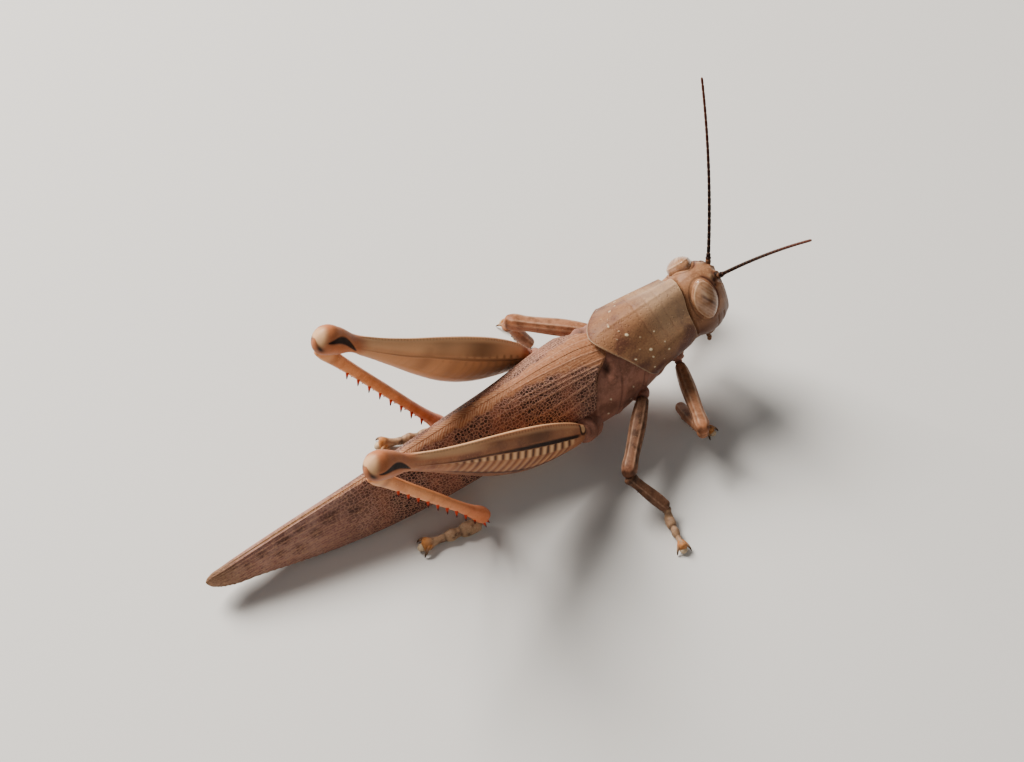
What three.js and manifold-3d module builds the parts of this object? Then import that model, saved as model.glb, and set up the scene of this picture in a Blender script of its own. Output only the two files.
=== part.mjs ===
// A giant grasshopper at rest, life size. Millimetres, +Z up, +X towards the head, +Y its left side.
import * as THREE from 'three';
import { LoftGeometry } from 'three/addons/geometries/LoftGeometry.js';
import { mergeGeometries, mergeVertices } from 'three/addons/utils/BufferGeometryUtils.js';
import Module from 'manifold-3d';

const wasm = await Module();
wasm.setup();

// ---------------------------------------------------------------- driving sizes
const GAP = 0.25; // clear space between neighbouring plates and segments
const PITCH = THREE.MathUtils.degToRad(13); // the body rises towards the head
const TIP_HEIGHT = 3.5; // back line above the floor at the wing tips
const FLOOR = 0;

// Trunk tables. Each row stands across the body: its distance s ahead of the wing tips,
// then half width, and the heights of its top, its widest level and its bottom, all measured
// from the back line that runs from the wing tips to the pronotum.
const THORAX = [
  [43.6, 3.8, -3.0, -7.4, -11.0],
  [47, 5.0, -2.6, -8.3, -12.0],
  [51, 5.2, -2.3, -8.5, -12.1],
  [55, 4.5, -2.0, -8.2, -11.9],
  [59, 3.6, -1.9, -7.4, -11.3],
  [62.4, 2.8, -2.2, -6.2, -9.6],
];
const ABDOMEN = [
  [14, 0.6, -4.0, -5.2, -6.2],
  [16.5, 1.2, -3.3, -5.1, -6.8],
  [21, 1.8, -2.9, -5.4, -7.7],
  [28, 2.5, -2.7, -5.9, -9.0],
  [36, 3.1, -2.8, -6.7, -10.3],
  [43.3, 3.8, -3.0, -7.2, -11.0],
];
const ABDOMEN_SEGMENTS = 8;
const SEGMENT_STEP = { depth: 0.16, run: 0.35 }; // run is a share of a segment's length
const HEAD = [
  [63.4, 3.85, -0.85, -5.4, -9.9],
  [64.4, 4.0, -0.65, -5.4, -10.3],
  [65.8, 3.9, -0.65, -5.6, -10.5],
  [67.1, 3.45, -0.95, -5.7, -10.3],
  [68.0, 2.85, -1.45, -5.7, -9.8],
  [68.6, 2.1, -2.15, -5.6, -9.1],
  [68.9, 1.1, -3.0, -5.5, -8.1],
];
const HEAD_FULLNESS = 2.25;
// Folded wings: distance, half width, top, lower edge, and how full the roof shape is
// (2 is an ellipse, less is more like a pitched roof).
const WINGS = [
  [0, 0.3, 0.3, -0.5, 2],
  [0.8, 0.6, 0.5, -1.2, 2],
  [2.2, 0.85, 0.6, -2.1, 2],
  [5.5, 1.2, 0.7, -3.1, 2],
  [10.4, 1.6, 0.75, -4.9, 2],
  [15, 2.05, 0.7, -6.3, 1.9],
  [21.6, 2.8, 0.6, -7.2, 1.8],
  [28, 3.45, 0.55, -7.3, 1.8],
  [34, 4.0, 0.4, -6.9, 1.7],
  [40, 4.6, 0.1, -6.5, 1.6],
  [46, 5.25, -0.25, -6.0, 1.6],
  [49.8, 5.2, -1.0, -5.4, 1.6],
  [52.4, 4.5, -2.2, -4.8, 1.7],
];
const WING_PLACES = [0, 0.8, 2.2, 4.5, 8, 12, 17, 23, 29, 35, 40, 44, 47.5, 50, 52.4];
const WING_BLOCK = { length: 80, width: 20, height: 40, middle: 30 }; // covers one of the two wings
const PRONOTUM = [
  [50.6, 5.2, -0.75, -5.4, -9.6],
  [54, 5.25, -0.5, -5.4, -10.0],
  [58, 4.85, -0.45, -5.4, -10.2],
  [61, 4.4, -0.5, -5.3, -10.2],
  [63.1, 4.1, -0.5, -5.3, -10.2],
];
const PRONOTUM_SHELL = 0.6;
const PRONOTUM_REACH = 128; // degrees round from the crown to the lower margin
const PRONOTUM_LENGTH = 12.5; // along the crown
const PRONOTUM_SLANT = 6.3; // how much further forward the hind margin is at the lower corner
const PRONOTUM_CORNER = { cut: 2.4, from: 0.78 }; // the front margin falls back beyond this share of the arch
const PRONOTUM_BEND = 0.92; // below 1 the arch is fuller than a round one

// Eyes, feelers and mouth, in the same tilted frame as the trunk.
const EYE = { at: [65.25, 2.6, -2.35], half: [1.5, 1.3, 2.5], lean: 33, rake: 8 };
const EYE_FACES = [12, 8];
const FEELER = { root: [68.15, 1.05, -2.45], start: 0.65, length: 22, bend: 0.9 };
const FEELER_GIRTH = { joint: 0.045, scape: 0.5, base: 0.32, tip: 0.26 }; // the first joint ends at `joint`
const FEELER_WAY = { left: [0.25, 0.53, 0.82], right: [0.11, 0.56, 0.82] }; // ahead, outward, up
const FEELER_BOW = [0.55, -0.45, 0.15];

const MOUTH = [
  [64.2, 1.4, -9.0, -10.4, -11.8],
  [65.0, 2.1, -9.0, -10.6, -12.1],
  [66.1, 2.1, -8.6, -10.3, -11.7],
  [67.1, 1.6, -8.2, -9.8, -10.8],
  [67.7, 0.8, -8.6, -9.4, -10.1],
];
const PALPS = [
  { root: [64.9, 1.6, -11.4], tip: [64.8, 1.9, -12.3], girth: 0.27 },
  { root: [66.0, 1.0, -11.4], tip: [65.9, 1.05, -12.05], girth: 0.26 },
];
const PALP_BOW = [0.3, 0.35, 0];

// Four short valves at the tip of the abdomen: the upper pair hooks up, the lower pair down.
const VALVES = [
  { root: [14.3, 0.3, -4.8], bend: [12.2, 0.38, -4.9], tip: [10.9, 0.4, -4.2], girth: 0.44 },
  { root: [14.3, 0.3, -5.3], bend: [12.4, 0.38, -5.4], tip: [11.3, 0.4, -5.5], girth: 0.38 },
];
const VALVE_TAPER = 0.45;
const VALVE_ROOM = { from: [14.8, 0, -4.7], to: [10.2, 0, -4.2], half: [1.35, 1.6] };

// Legs: hip in the tilted frame, lengths of the segments, and their girths.
const LEGS = {
  fore: { hip: [60, 3.0, -11], femur: 10.3, tibia: 8.5, tarsus: 5.8, girth: 1.0, heel: 1.75 },
  mid: { hip: [53.9, 5.4, -8.8], femur: 10.5, tibia: 6.2, tarsus: 6.3, girth: 1.05, heel: 1.75 },
  hind: { hip: [45.3, 6.4, -6.75], femur: 34.2, tibia: 30.0, tarsus: 8.8, girth: 1.4, heel: 2.1 },
};
// Stance: femur bearing and rise, tibia bearing, tarsus bearing, in degrees. A bearing turns
// from straight ahead towards the leg's own side. `unlike` is how much longer this femur and
// shorter this tibia is than its partner on the other side, as no animal is quite even.
const STANCE = {
  fore_left: { femur: 32, rise: 1, tibia: -160, tarsus: 25 },
  fore_right: { femur: 106.5, rise: 0.9, tibia: -78, tarsus: 67.5 },
  mid_left: { femur: 142, rise: 1, tibia: -14, tarsus: 97 },
  mid_right: { femur: 132, rise: -8, tibia: 54, tarsus: 100 },
  hind_left: { femur: 182.7, rise: 40.6, tibia: 2, tarsus: 162, unlike: -0.4 },
  hind_right: { femur: 171.3, rise: 35.3, tibia: -12.4, tarsus: 186, unlike: 0.8 },
};

const COXA = {
  fore: { root: [60.2, 2.4, -10.6], girth: 1.3 },
  mid: { root: [53.8, 3.9, -9.8], girth: 1.5 },
  hind: { root: [46.6, 4.4, -8.8], girth: 2.3 },
};
const COXA_TAPER = 0.3;
const COXA_END = 0.1; // how far short of the hip it ends
const THIGH_START = 0.3; // how far beyond the hip each thigh starts
// Thigh of the hind leg along its length: half thickness, half depth, sag below the joint line.
const HIND_KNEE = 1.9;
const HIND_HINGE = { beyond: 0.5, below: 1.3 };
const SMALL_KNEE = 0.2;
const SMALL_HINGE = { beyond: 0, below: 0.5 };
const SMALL_SHIN_START = 1.3; // where the fore and middle shins come out of the knee
const HIND_FEMUR = [
  [0, 0.9, 1.3, 0.2],
  [0.08, 1.25, 2.3, 0.6],
  [0.2, 1.45, 3.2, 1.1],
  [0.32, 1.45, 3.25, 1.25],
  [0.45, 1.25, 2.75, 1.15],
  [0.6, 1.05, 1.9, 0.9],
  [0.75, 0.9, 1.25, 0.5],
  [0.84, 1.0, 1.1, 0.2],
  [0.92, 1.45, 1.75, 0.1],
  [0.97, 1.4, 1.7, 0],
  [1, 0.7, 0.9, 0],
];
const SMALL_FEMUR = [
  [0, 0.7, 0.8],
  [0.3, 0.95, 1.05],
  [0.75, 0.85, 0.9],
  [0.92, 0.9, 1.0],
  [1, 0.6, 0.7],
];
const SMALL_TIBIA = [
  [0, 0.5, 0.55],
  [0.3, 0.6, 0.62],
  [0.9, 0.62, 0.65],
  [1, 0.5, 0.55],
];
const HIND_TIBIA = [
  [0, 0.5, 0.75],
  [0.05, 0.62, 0.9],
  [0.12, 0.6, 0.8],
  [0.5, 0.6, 0.68],
  [0.88, 0.7, 0.75],
  [0.97, 0.9, 0.95],
  [1, 0.8, 0.85],
];
const SPINES = { count: 9, from: 0.22, to: 0.9, length: 1.15, girth: 0.28 };
const SPINE_LIE = { apart: 0.75, slant: 0.55, seat: 0.3 };
const TARSUS = [
  [0, 0.5, 0.56],
  [0.125, 0.62, 0.74],
  [0.3, 0.6, 0.72],
  [0.38, 0.45, 0.48],
  [0.5, 0.52, 0.7],
  [0.6, 0.4, 0.46],
  [0.8, 0.4, 0.46],
  [0.88, 0.55, 0.68],
  [1, 0.5, 0.68],
];
const SOLE = 0.58; // height of the foot's middle line, in girths
const FOOT = { start: 0.35, end: 0.9 }; // begins this many girths beyond the heel, ends short of the toe
// Claws: how far ahead of the toe, how far out and how high (both in girths).
const CLAW = { root: [-1.3, 0.12, 0.75], peak: [-0.5, 0.62, 0.95], tip: [-0.05, 0.87] };
const CLAW_GIRTH = 0.26;
const CLAW_CLEAR = 0.3; // height of a claw's tip
const WELD = 1e-4; // points this close are one

// ---------------------------------------------------------------- materials
const COLOURS = {
  head: '#a8805f',
  eye: '#a98063',
  feeler: '#2a1512',
  mouth: '#8d6a4c',
  pronotum: '#9c7c52',
  thorax: '#7a553f',
  abdomen: '#8f7350',
  wing: '#7c5945',
  smallLeg: '#7d6244',
  hindFemur: '#a27a4c',
  hindTibia: '#c2692f',
  tarsus: '#8e7150',
};
const materials = Object.fromEntries(
  Object.entries(COLOURS).map(([name, color]) => [
    name,
    new THREE.MeshStandardMaterial({ name, color, roughness: name === 'eye' ? 0.3 : 0.6, metalness: 0 }),
  ]),
);

// ---------------------------------------------------------------- geometry helpers
/** A smooth reading of a table at any distance: its columns as an array. */
function reader(table) {
  const places = table.map((row) => row[0]);
  const values = table.flatMap((row) => row.slice(1));
  const curve = new THREE.CubicInterpolant(places, values, table[0].length - 1);
  return (s) => Array.from(curve.evaluate(s));
}

/** Evenly spaced numbers from a to b. */
const steps = (a, b, count) => Array.from({ length: count + 1 }, (_, k) => a + ((b - a) * k) / count);

/** A signed power, which bends a circle into a superellipse. */
const power = (value, exponent) => Math.sign(value) * Math.abs(value) ** exponent;

/** A ring across the trunk at s, fuller than an ellipse, with its widest level at `mid`. */
function trunkRing(s, [half, top, mid, bottom], { grow = 0, sides = 20, fullness = 2.3 } = {}) {
  return steps(0, 2 * Math.PI, sides).slice(0, -1).map((turn) => {
    const lift = Math.sin(turn) > 0 ? top - mid + grow : mid - bottom + grow;
    const y = (half + grow) * power(Math.cos(turn), 2 / fullness);
    return new THREE.Vector3(s, y, mid + lift * power(Math.sin(turn), 2 / fullness));
  });
}

/** A closed trunk solid skinned through rings of a table. */
function trunk(table, count, options = {}) {
  const at = reader(table);
  const rings = steps(table[0][0], table.at(-1)[0], count).map((s) => trunkRing(s, at(s), options));
  return capped(rings);
}

const capped = (rings) => new LoftGeometry(rings, { capStart: true, capEnd: true });

/**
 * A limb along a curve: each ring has its own half thickness, which lies level, and half depth,
 * which stands in the upright plane. A foot is pressed flat wherever it would go below the floor.
 */
function limb(curve, count, size, { sides = 10, fullness = 2, foot = false, grow = 0 } = {}) {
  const up = new THREE.Vector3(0, 0, 1);
  const first = foot ? Math.PI / sides : 0;
  const rings = steps(0, 1, count).map((t) => {
    const way = curve.getTangent(t);
    const beyond = { 0: -grow, 1: grow }[t] ?? 0;
    const centre = curve.getPoint(t).addScaledVector(way, beyond);
    const side = new THREE.Vector3().crossVectors(up, way).normalize();
    const depth = new THREE.Vector3().crossVectors(way, side).normalize();
    const [thick, deep, sag = 0] = size(t);
    return steps(first, first + 2 * Math.PI, sides).slice(0, -1).map((turn) => {
      const across = (thick + grow) * power(Math.cos(turn), 2 / fullness);
      const over = (deep + grow) * power(Math.sin(turn), 2 / fullness) - sag;
      const point = centre.clone().addScaledVector(side, across).addScaledVector(depth, over);
      if (foot) point.z = Math.max(FLOOR, point.z);
      return point;
    });
  });
  return capped(rings);
}

/** A three.js geometry as a solid that can be joined and cut. */
function solid(geometry) {
  const bare = new THREE.BufferGeometry().copy(geometry);
  bare.deleteAttribute('normal');
  bare.deleteAttribute('uv');
  const merged = mergeVertices(bare, WELD);
  const mesh = new wasm.Mesh({
    numProp: 3,
    vertProperties: new Float32Array(merged.attributes.position.array),
    triVerts: new Uint32Array(merged.index.array),
  });
  return new wasm.Manifold(mesh);
}

/** A solid back as a three.js geometry. */
function geometryOf(manifold) {
  const mesh = manifold.getMesh();
  const geometry = new THREE.BufferGeometry();
  geometry.setAttribute('position', new THREE.BufferAttribute(new Float32Array(mesh.vertProperties), 3));
  geometry.setIndex(new THREE.BufferAttribute(new Uint32Array(mesh.triVerts), 1));
  geometry.computeVertexNormals();
  return geometry;
}

/** A geometry with every one of the cutters taken out of it. */
function cut(geometry, ...cutters) {
  return geometryOf(cutters.reduce((left, cutter) => left.subtract(solid(cutter)), solid(geometry)));
}

/** Several overlapping geometries as one closed body. */
function join(...geometries) {
  return geometryOf(geometries.map(solid).reduce((all, next) => all.add(next)));
}

const grasshopper = new THREE.Group();
const body = new THREE.Group();
body.rotation.y = -PITCH;
body.position.z = TIP_HEIGHT;
grasshopper.add(body);
body.updateMatrixWorld(true);

function add(parent, name, geometry, material) {
  const mesh = new THREE.Mesh(geometry, materials[material]);
  mesh.name = name;
  parent.add(mesh);
}

const SIDES = { left: 1, right: -1 };

// ---------------------------------------------------------------- trunk
const thoraxShape = (grow = 0) => trunk(THORAX, 7, { grow, sides: 16 });

/** The abdomen steps in a little behind each of its segments. */
function abdomenShape(grow = 0) {
  const at = reader(ABDOMEN);
  const [first, last] = [ABDOMEN[0][0], ABDOMEN.at(-1)[0]];
  const step = (last - first) / ABDOMEN_SEGMENTS;
  const rings = [];
  for (let k = 0; k < ABDOMEN_SEGMENTS; k += 1) {
    const start = first + k * step;
    for (const [run, depth] of [[0, SEGMENT_STEP.depth], [SEGMENT_STEP.run, 0]]) {
      const s = start + run * step;
      rings.push(trunkRing(s, at(s), { grow: grow - depth, sides: 12 }));
    }
  }
  rings.push(trunkRing(last, at(last), { grow, sides: 12 }));
  return capped(rings);
}

/** The egg-laying valves, which grow out of the last segment as one piece. */
function valvesShape() {
  const valves = Object.values(SIDES).flatMap((side) => VALVES.map(({ root, bend, tip, girth }) => {
    const [from, middle, to] = [root, bend, tip].map(([x, y, z]) => new THREE.Vector3(x, side * y, z));
    const size = (t) => [girth * (1 - VALVE_TAPER * t), girth * (1 - VALVE_TAPER * t)];
    return limb(new THREE.QuadraticBezierCurve3(from, middle, to), 3, size, { sides: 5 });
  }));
  return cut(join(...valves), abdomenShape(GAP));
}

/** The hollow that the folded wings leave round the valves. */
function valveRoom() {
  const [from, to] = [VALVE_ROOM.from, VALVE_ROOM.to].map((point) => new THREE.Vector3(...point));
  return limb(new THREE.LineCurve3(from, to), 1, () => VALVE_ROOM.half, { sides: 8 });
}

/** The saddle-shaped shield: a shell whose hind margin slants forward down each side. */
function pronotumShape(grow = 0) {
  const at = reader(PRONOTUM);
  const reach = THREE.MathUtils.degToRad(PRONOTUM_REACH);
  const front = PRONOTUM.at(-1)[0];
  const bend = 8;
  const shell = (along, angle, depth) => {
    const round = Math.abs(angle) / reach;
    const hind = front - PRONOTUM_LENGTH + PRONOTUM_SLANT * round - grow;
    const corner = Math.max(0, round - PRONOTUM_CORNER.from) / (1 - PRONOTUM_CORNER.from);
    const fore = front - PRONOTUM_CORNER.cut * corner + grow;
    const s = THREE.MathUtils.lerp(hind, fore, along);
    const [half, top, mid, bottom] = at(THREE.MathUtils.clamp(s, PRONOTUM[0][0], front));
    const lift = Math.cos(angle) > 0 ? top - mid : mid - bottom;
    const y = (half + depth) * power(Math.sin(angle), PRONOTUM_BEND);
    return new THREE.Vector3(s, y, mid + (lift + depth) * power(Math.cos(angle), PRONOTUM_BEND));
  };
  const rings = steps(0, 1, 6).map((along) => [
    ...steps(-reach, reach, 2 * bend).map((angle) => shell(along, angle, grow)),
    ...steps(reach, -reach, 2 * bend).map((angle) => shell(along, angle, -PRONOTUM_SHELL - grow)),
  ]);
  return capped(rings.map((ring) => ring.reverse()));
}

/** Both folded wings as one filled roof, to be split and hollowed. */
function wingRoof(grow = 0) {
  const at = reader(WINGS);
  return capped(WING_PLACES.map((s) => {
    const [half, top, bottom, fullness] = at(s);
    return steps(0, Math.PI, 14).map((turn) => {
      const y = (half + grow) * power(Math.cos(turn), 2 / fullness);
      const lift = (top - bottom + 2 * grow) * power(Math.sin(turn), 2 / fullness);
      return new THREE.Vector3(s, y, bottom - grow + lift);
    });
  }));
}

function wingShape(side) {
  const { length, width, height, middle } = WING_BLOCK;
  const half = new THREE.BoxGeometry(length, width, height);
  half.translate(middle, (-side * (width - GAP)) / 2, 0);
  const rooms = [abdomenShape(GAP), valveRoom(), thoraxShape(GAP), pronotumShape(1.5 * GAP)];
  return cut(wingRoof(), half, ...rooms);
}

// ---------------------------------------------------------------- head
/** An eye: an ellipsoid with its own axes, leaning inward at the top. */
function eyeShape(side, grow = 0) {
  const { at, half, lean, rake } = EYE;
  const geometry = new THREE.SphereGeometry(1, ...EYE_FACES);
  geometry.scale(...half.map((value) => value + grow));
  geometry.rotateY(THREE.MathUtils.degToRad(rake)).rotateX(THREE.MathUtils.degToRad(side * lean));
  geometry.translate(at[0], side * at[1], at[2]);
  return geometry;
}

const skull = (grow = 0) => trunk(HEAD, 8, { grow, sides: 18, fullness: HEAD_FULLNESS });

const headShape = () => cut(skull(), eyeShape(SIDES.left, GAP), eyeShape(SIDES.right, GAP));

/** Upper lip, jaws and the two pairs of palps beneath the face. */
function mouthShape() {
  const jaws = trunk(MOUTH, 6, { sides: 14 });
  const palps = Object.values(SIDES).flatMap((side) => PALPS.map(({ root, tip, girth }) => {
    const [from, to] = [root, tip].map(([x, y, z]) => new THREE.Vector3(x, side * y, z));
    const middle = from.clone().lerp(to, 0.5);
    middle.add(new THREE.Vector3(PALP_BOW[0], side * PALP_BOW[1], PALP_BOW[2]));
    return limb(new THREE.QuadraticBezierCurve3(from, middle, to), 4, () => [girth, girth], { sides: 6 });
  }));
  return cut(join(jaws, ...palps), skull(GAP));
}

/** A feeler: a stout first joint, a small second one, then a slightly bowed thread. */
function feelerShape(sideName) {
  const side = SIDES[sideName];
  const turned = ([ahead, out, up]) => new THREE.Vector3(ahead, side * out, up).normalize();
  const root = body.localToWorld(new THREE.Vector3(FEELER.root[0], side * FEELER.root[1], FEELER.root[2]));
  const way = turned(FEELER_WAY[sideName]);
  const bow = turned(FEELER_BOW).multiplyScalar(FEELER.bend);
  const tip = root.clone().addScaledVector(way, FEELER.length);
  const start = root.clone().addScaledVector(way, FEELER.start);
  const curve = new THREE.QuadraticBezierCurve3(start, start.clone().lerp(tip, 0.5).add(bow), tip);
  const { joint, scape, base, tip: thin } = FEELER_GIRTH;
  const girth = (t) => (t < joint ? scape : THREE.MathUtils.lerp(base, thin, t));
  return limb(curve, 16, (t) => [girth(t), girth(t)], { sides: 6 });
}

// ---------------------------------------------------------------- legs
const bearing = (degrees, rise, side) => {
  const turn = THREE.MathUtils.degToRad(degrees);
  const flat = Math.cos(rise);
  return new THREE.Vector3(Math.cos(turn) * flat, side * Math.sin(turn) * flat, Math.sin(rise));
};

/** Hip, knee, heel and toe of one leg; the tibia drops as steeply as it must to reach its heel height. */
function joints(kind, sideName) {
  const side = SIDES[sideName];
  const { hip: seat, femur, tibia, tarsus, heel: heelHeight } = LEGS[kind];
  const stance = STANCE[`${kind}_${sideName}`];
  const { unlike = 0 } = stance;
  const hip = body.localToWorld(new THREE.Vector3(seat[0], side * seat[1], seat[2]));
  const rise = THREE.MathUtils.degToRad(stance.rise);
  const knee = hip.clone().addScaledVector(bearing(stance.femur, rise, side), femur + unlike);
  const shin = tibia - unlike;
  const drop = Math.asin((heelHeight - knee.z) / shin);
  const heel = knee.clone().addScaledVector(bearing(stance.tibia, drop, side), shin);
  const toe = heel.clone().addScaledVector(bearing(stance.tarsus, 0, side), tarsus);
  return { side, hip, knee, heel, toe };
}

/** A trunk shape moved from its tilted frame to the room's. */
const upright = (geometry) => geometry.applyMatrix4(body.matrixWorld);

/** A straight stretch between two joints, starting and ending short of them. */
function stretch(from, to, startGap, endGap) {
  const way = to.clone().sub(from).normalize();
  const start = from.clone().addScaledVector(way, startGap);
  return new THREE.LineCurve3(start, to.clone().addScaledVector(way, -endGap));
}

/** The level direction across a limb, and the one that stands off its upper face. */
function facing(from, to) {
  const way = to.clone().sub(from).normalize();
  const level = new THREE.Vector3().crossVectors(new THREE.Vector3(0, 0, 1), way).normalize();
  return { way, level, above: new THREE.Vector3().crossVectors(way, level).normalize() };
}

/** Where the tibia hinges: a little behind and below the middle of the knee. */
function hinge({ hip, knee }, { beyond, below }) {
  const { way, above } = facing(hip, knee);
  return knee.clone().addScaledVector(way, beyond).addScaledVector(above, -below);
}

/** The jumping leg's shin, without its spines. */
function hindShin(leg, grow = 0) {
  const shaft = stretch(hinge(leg, HIND_HINGE), leg.heel, 0, 0);
  const size = reader(HIND_TIBIA);
  return limb(shaft, 10, (t) => size(t), { sides: 8, grow });
}

/** The jumping leg's thigh: a deep club, a neck and a round knee. */
function hindClub(leg, grow = 0) {
  const size = reader(HIND_FEMUR);
  const line = stretch(leg.hip, leg.knee, THIGH_START, -HIND_KNEE);
  return limb(line, 16, (t) => size(t), { sides: 14, fullness: 1.8, grow });
}

const hindFemurShape = (leg) => cut(hindClub(leg), hindShin(leg, GAP));

/** The shin with two rows of spines along its hind face. */
function hindTibiaShape(leg) {
  const shaft = stretch(hinge(leg, HIND_HINGE), leg.heel, 0, 0);
  const { way, level, above } = facing(leg.knee, leg.heel);
  const spines = [];
  for (const row of [1, -1]) {
    for (const t of steps(SPINES.from, SPINES.to, SPINES.count - 1)) {
      const lie = above.clone().negate().addScaledVector(level, row * SPINE_LIE.apart);
      lie.addScaledVector(way, SPINE_LIE.slant).normalize();
      const spine = new THREE.ConeGeometry(SPINES.girth, SPINES.length, 4);
      spine.translate(0, SPINES.length / 2, 0);
      spine.applyQuaternion(new THREE.Quaternion().setFromUnitVectors(new THREE.Vector3(0, 1, 0), lie));
      const seat = shaft.getPoint(t).addScaledVector(lie, SPINE_LIE.seat);
      spine.translate(seat.x, seat.y, seat.z);
      spines.push(spine);
    }
  }
  return join(hindShin(leg), ...spines);
}

/** A foot of three joints with a pad and two claws, its sole flat on the floor. */
function tarsusShape({ heel, toe }, girth) {
  const size = reader(TARSUS);
  const { way, level } = facing(heel.clone().setZ(0), toe.clone().setZ(0));
  const start = heel.clone().setZ(girth * SOLE);
  const end = toe.clone().setZ(girth * SOLE);
  const middle = stretch(start, end, girth * FOOT.start, FOOT.end);
  const foot = limb(middle, 8, (t) => size(t).map((value) => value * girth), { sides: 8, foot: true });
  const claws = [1, -1].map((row) => {
    const [root, peak, tip] = [CLAW.root, CLAW.peak, CLAW.tip].map(([ahead, out, height = 0]) => (
      end.clone().addScaledVector(way, ahead).addScaledVector(level, row * out * girth).setZ(height * girth)
    ));
    tip.setZ(CLAW_CLEAR);
    const line = new THREE.QuadraticBezierCurve3(root, peak, tip);
    return limb(line, 2, () => [CLAW_GIRTH, CLAW_GIRTH], { sides: 4 });
  });
  return join(foot, ...claws);
}

/** A table read for a limb of a given girth. */
function sized(table, girth) {
  const at = reader(table);
  return (t) => at(t).map((value) => value * girth);
}

/** The thigh of a fore or middle leg. */
function smallFemur(leg, girth, grow = 0) {
  const line = stretch(leg.hip, leg.knee, THIGH_START, -SMALL_KNEE);
  return limb(line, 6, sized(SMALL_FEMUR, girth), { sides: 8, grow });
}

/** The shin of a fore or middle leg, clear of the thigh that it folds against. */
function smallTibia(leg, girth) {
  const shaft = stretch(hinge(leg, SMALL_HINGE), leg.heel, SMALL_SHIN_START, 0);
  const shin = limb(shaft, 5, sized(SMALL_TIBIA, girth), { sides: 8 });
  return cut(shin, smallFemur(leg, girth, GAP));
}

function addLeg(kind, sideName) {
  const leg = joints(kind, sideName);
  const name = (segment) => `${kind}_${segment}_${sideName}`;
  const { girth } = LEGS[kind];
  const { root, girth: width } = COXA[kind];
  const socket = body.localToWorld(new THREE.Vector3(root[0], leg.side * root[1], root[2]));
  const narrowing = (t) => [width * (1 - COXA_TAPER * t), width * (1 - COXA_TAPER * t)];
  const coxa = limb(stretch(socket, leg.hip, 0, COXA_END), 2, narrowing, { sides: 8 });
  const isHind = kind === 'hind';
  const femur = isHind ? hindFemurShape(leg) : smallFemur(leg, girth);
  const tibia = isHind ? hindTibiaShape(leg) : smallTibia(leg, girth);
  const room = isHind ? hindClub(leg, GAP) : smallFemur(leg, girth, GAP);
  const trunkParts = [thoraxShape(GAP), pronotumShape(GAP), wingRoof(GAP)].map(upright);
  add(grasshopper, name('coxa'), cut(coxa, room, ...trunkParts), 'thorax');
  add(grasshopper, name('femur'), femur, isHind ? 'hindFemur' : 'smallLeg');
  add(grasshopper, name('tibia'), tibia, isHind ? 'hindTibia' : 'smallLeg');
  add(grasshopper, name('tarsus'), tarsusShape(leg, girth), 'tarsus');
}

// ---------------------------------------------------------------- the whole animal
add(body, 'thorax', cut(thoraxShape(), pronotumShape(GAP)), 'thorax');
add(body, 'abdomen', abdomenShape(), 'abdomen');
add(body, 'ovipositor', valvesShape(), 'abdomen');
add(body, 'pronotum', pronotumShape(), 'pronotum');
add(body, 'head', headShape(), 'head');
add(body, 'mouthparts', mouthShape(), 'mouth');
for (const [name, side] of Object.entries(SIDES)) {
  add(body, `wing_${name}`, wingShape(side), 'wing');
  add(body, `eye_${name}`, eyeShape(side), 'eye');
  add(grasshopper, `antenna_${name}`, feelerShape(name), 'feeler');
}
for (const kind of Object.keys(LEGS)) {
  for (const sideName of Object.keys(SIDES)) addLeg(kind, sideName);
}

// The origin is under the middle of the whole animal, on the floor.
const box = new THREE.Box3().setFromObject(grasshopper, true);
const middle = box.getCenter(new THREE.Vector3());
grasshopper.position.set(-middle.x, -middle.y, 0);

export default grasshopper;
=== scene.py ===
"""A giant grasshopper at rest, life size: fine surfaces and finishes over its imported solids.

Shapes are worked out in millimetres and turned to metres as they become meshes. Trunk shapes use a
frame tilted with the body: s runs forward from the wing tips, y to the animal's left, and v up from
the line of the back.
"""

import math

import bpy
import numpy as np
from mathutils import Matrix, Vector


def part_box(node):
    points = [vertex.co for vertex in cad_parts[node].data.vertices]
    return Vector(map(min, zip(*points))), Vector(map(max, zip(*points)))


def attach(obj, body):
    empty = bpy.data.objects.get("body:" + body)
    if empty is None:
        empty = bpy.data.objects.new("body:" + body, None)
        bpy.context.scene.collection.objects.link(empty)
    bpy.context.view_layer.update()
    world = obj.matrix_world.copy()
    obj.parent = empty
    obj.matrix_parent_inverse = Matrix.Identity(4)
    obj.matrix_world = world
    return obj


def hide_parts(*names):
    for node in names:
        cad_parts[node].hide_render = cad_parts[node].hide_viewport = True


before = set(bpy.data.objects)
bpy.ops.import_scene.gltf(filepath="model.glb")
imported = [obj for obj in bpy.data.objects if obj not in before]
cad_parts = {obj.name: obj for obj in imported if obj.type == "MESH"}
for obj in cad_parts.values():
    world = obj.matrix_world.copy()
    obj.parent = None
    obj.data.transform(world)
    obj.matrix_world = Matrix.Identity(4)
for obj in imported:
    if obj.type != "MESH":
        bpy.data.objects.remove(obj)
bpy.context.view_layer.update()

# ------------------------------------------------------------------ sizes, in mm and degrees
MM = 0.001
UV_MM = 0.01  # one unit of a map is 100 mm
PITCH = math.radians(13)
TIP_HEIGHT = 3.5
SIDES = {"left": 1, "right": -1}
RNG = np.random.default_rng(7)

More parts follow.
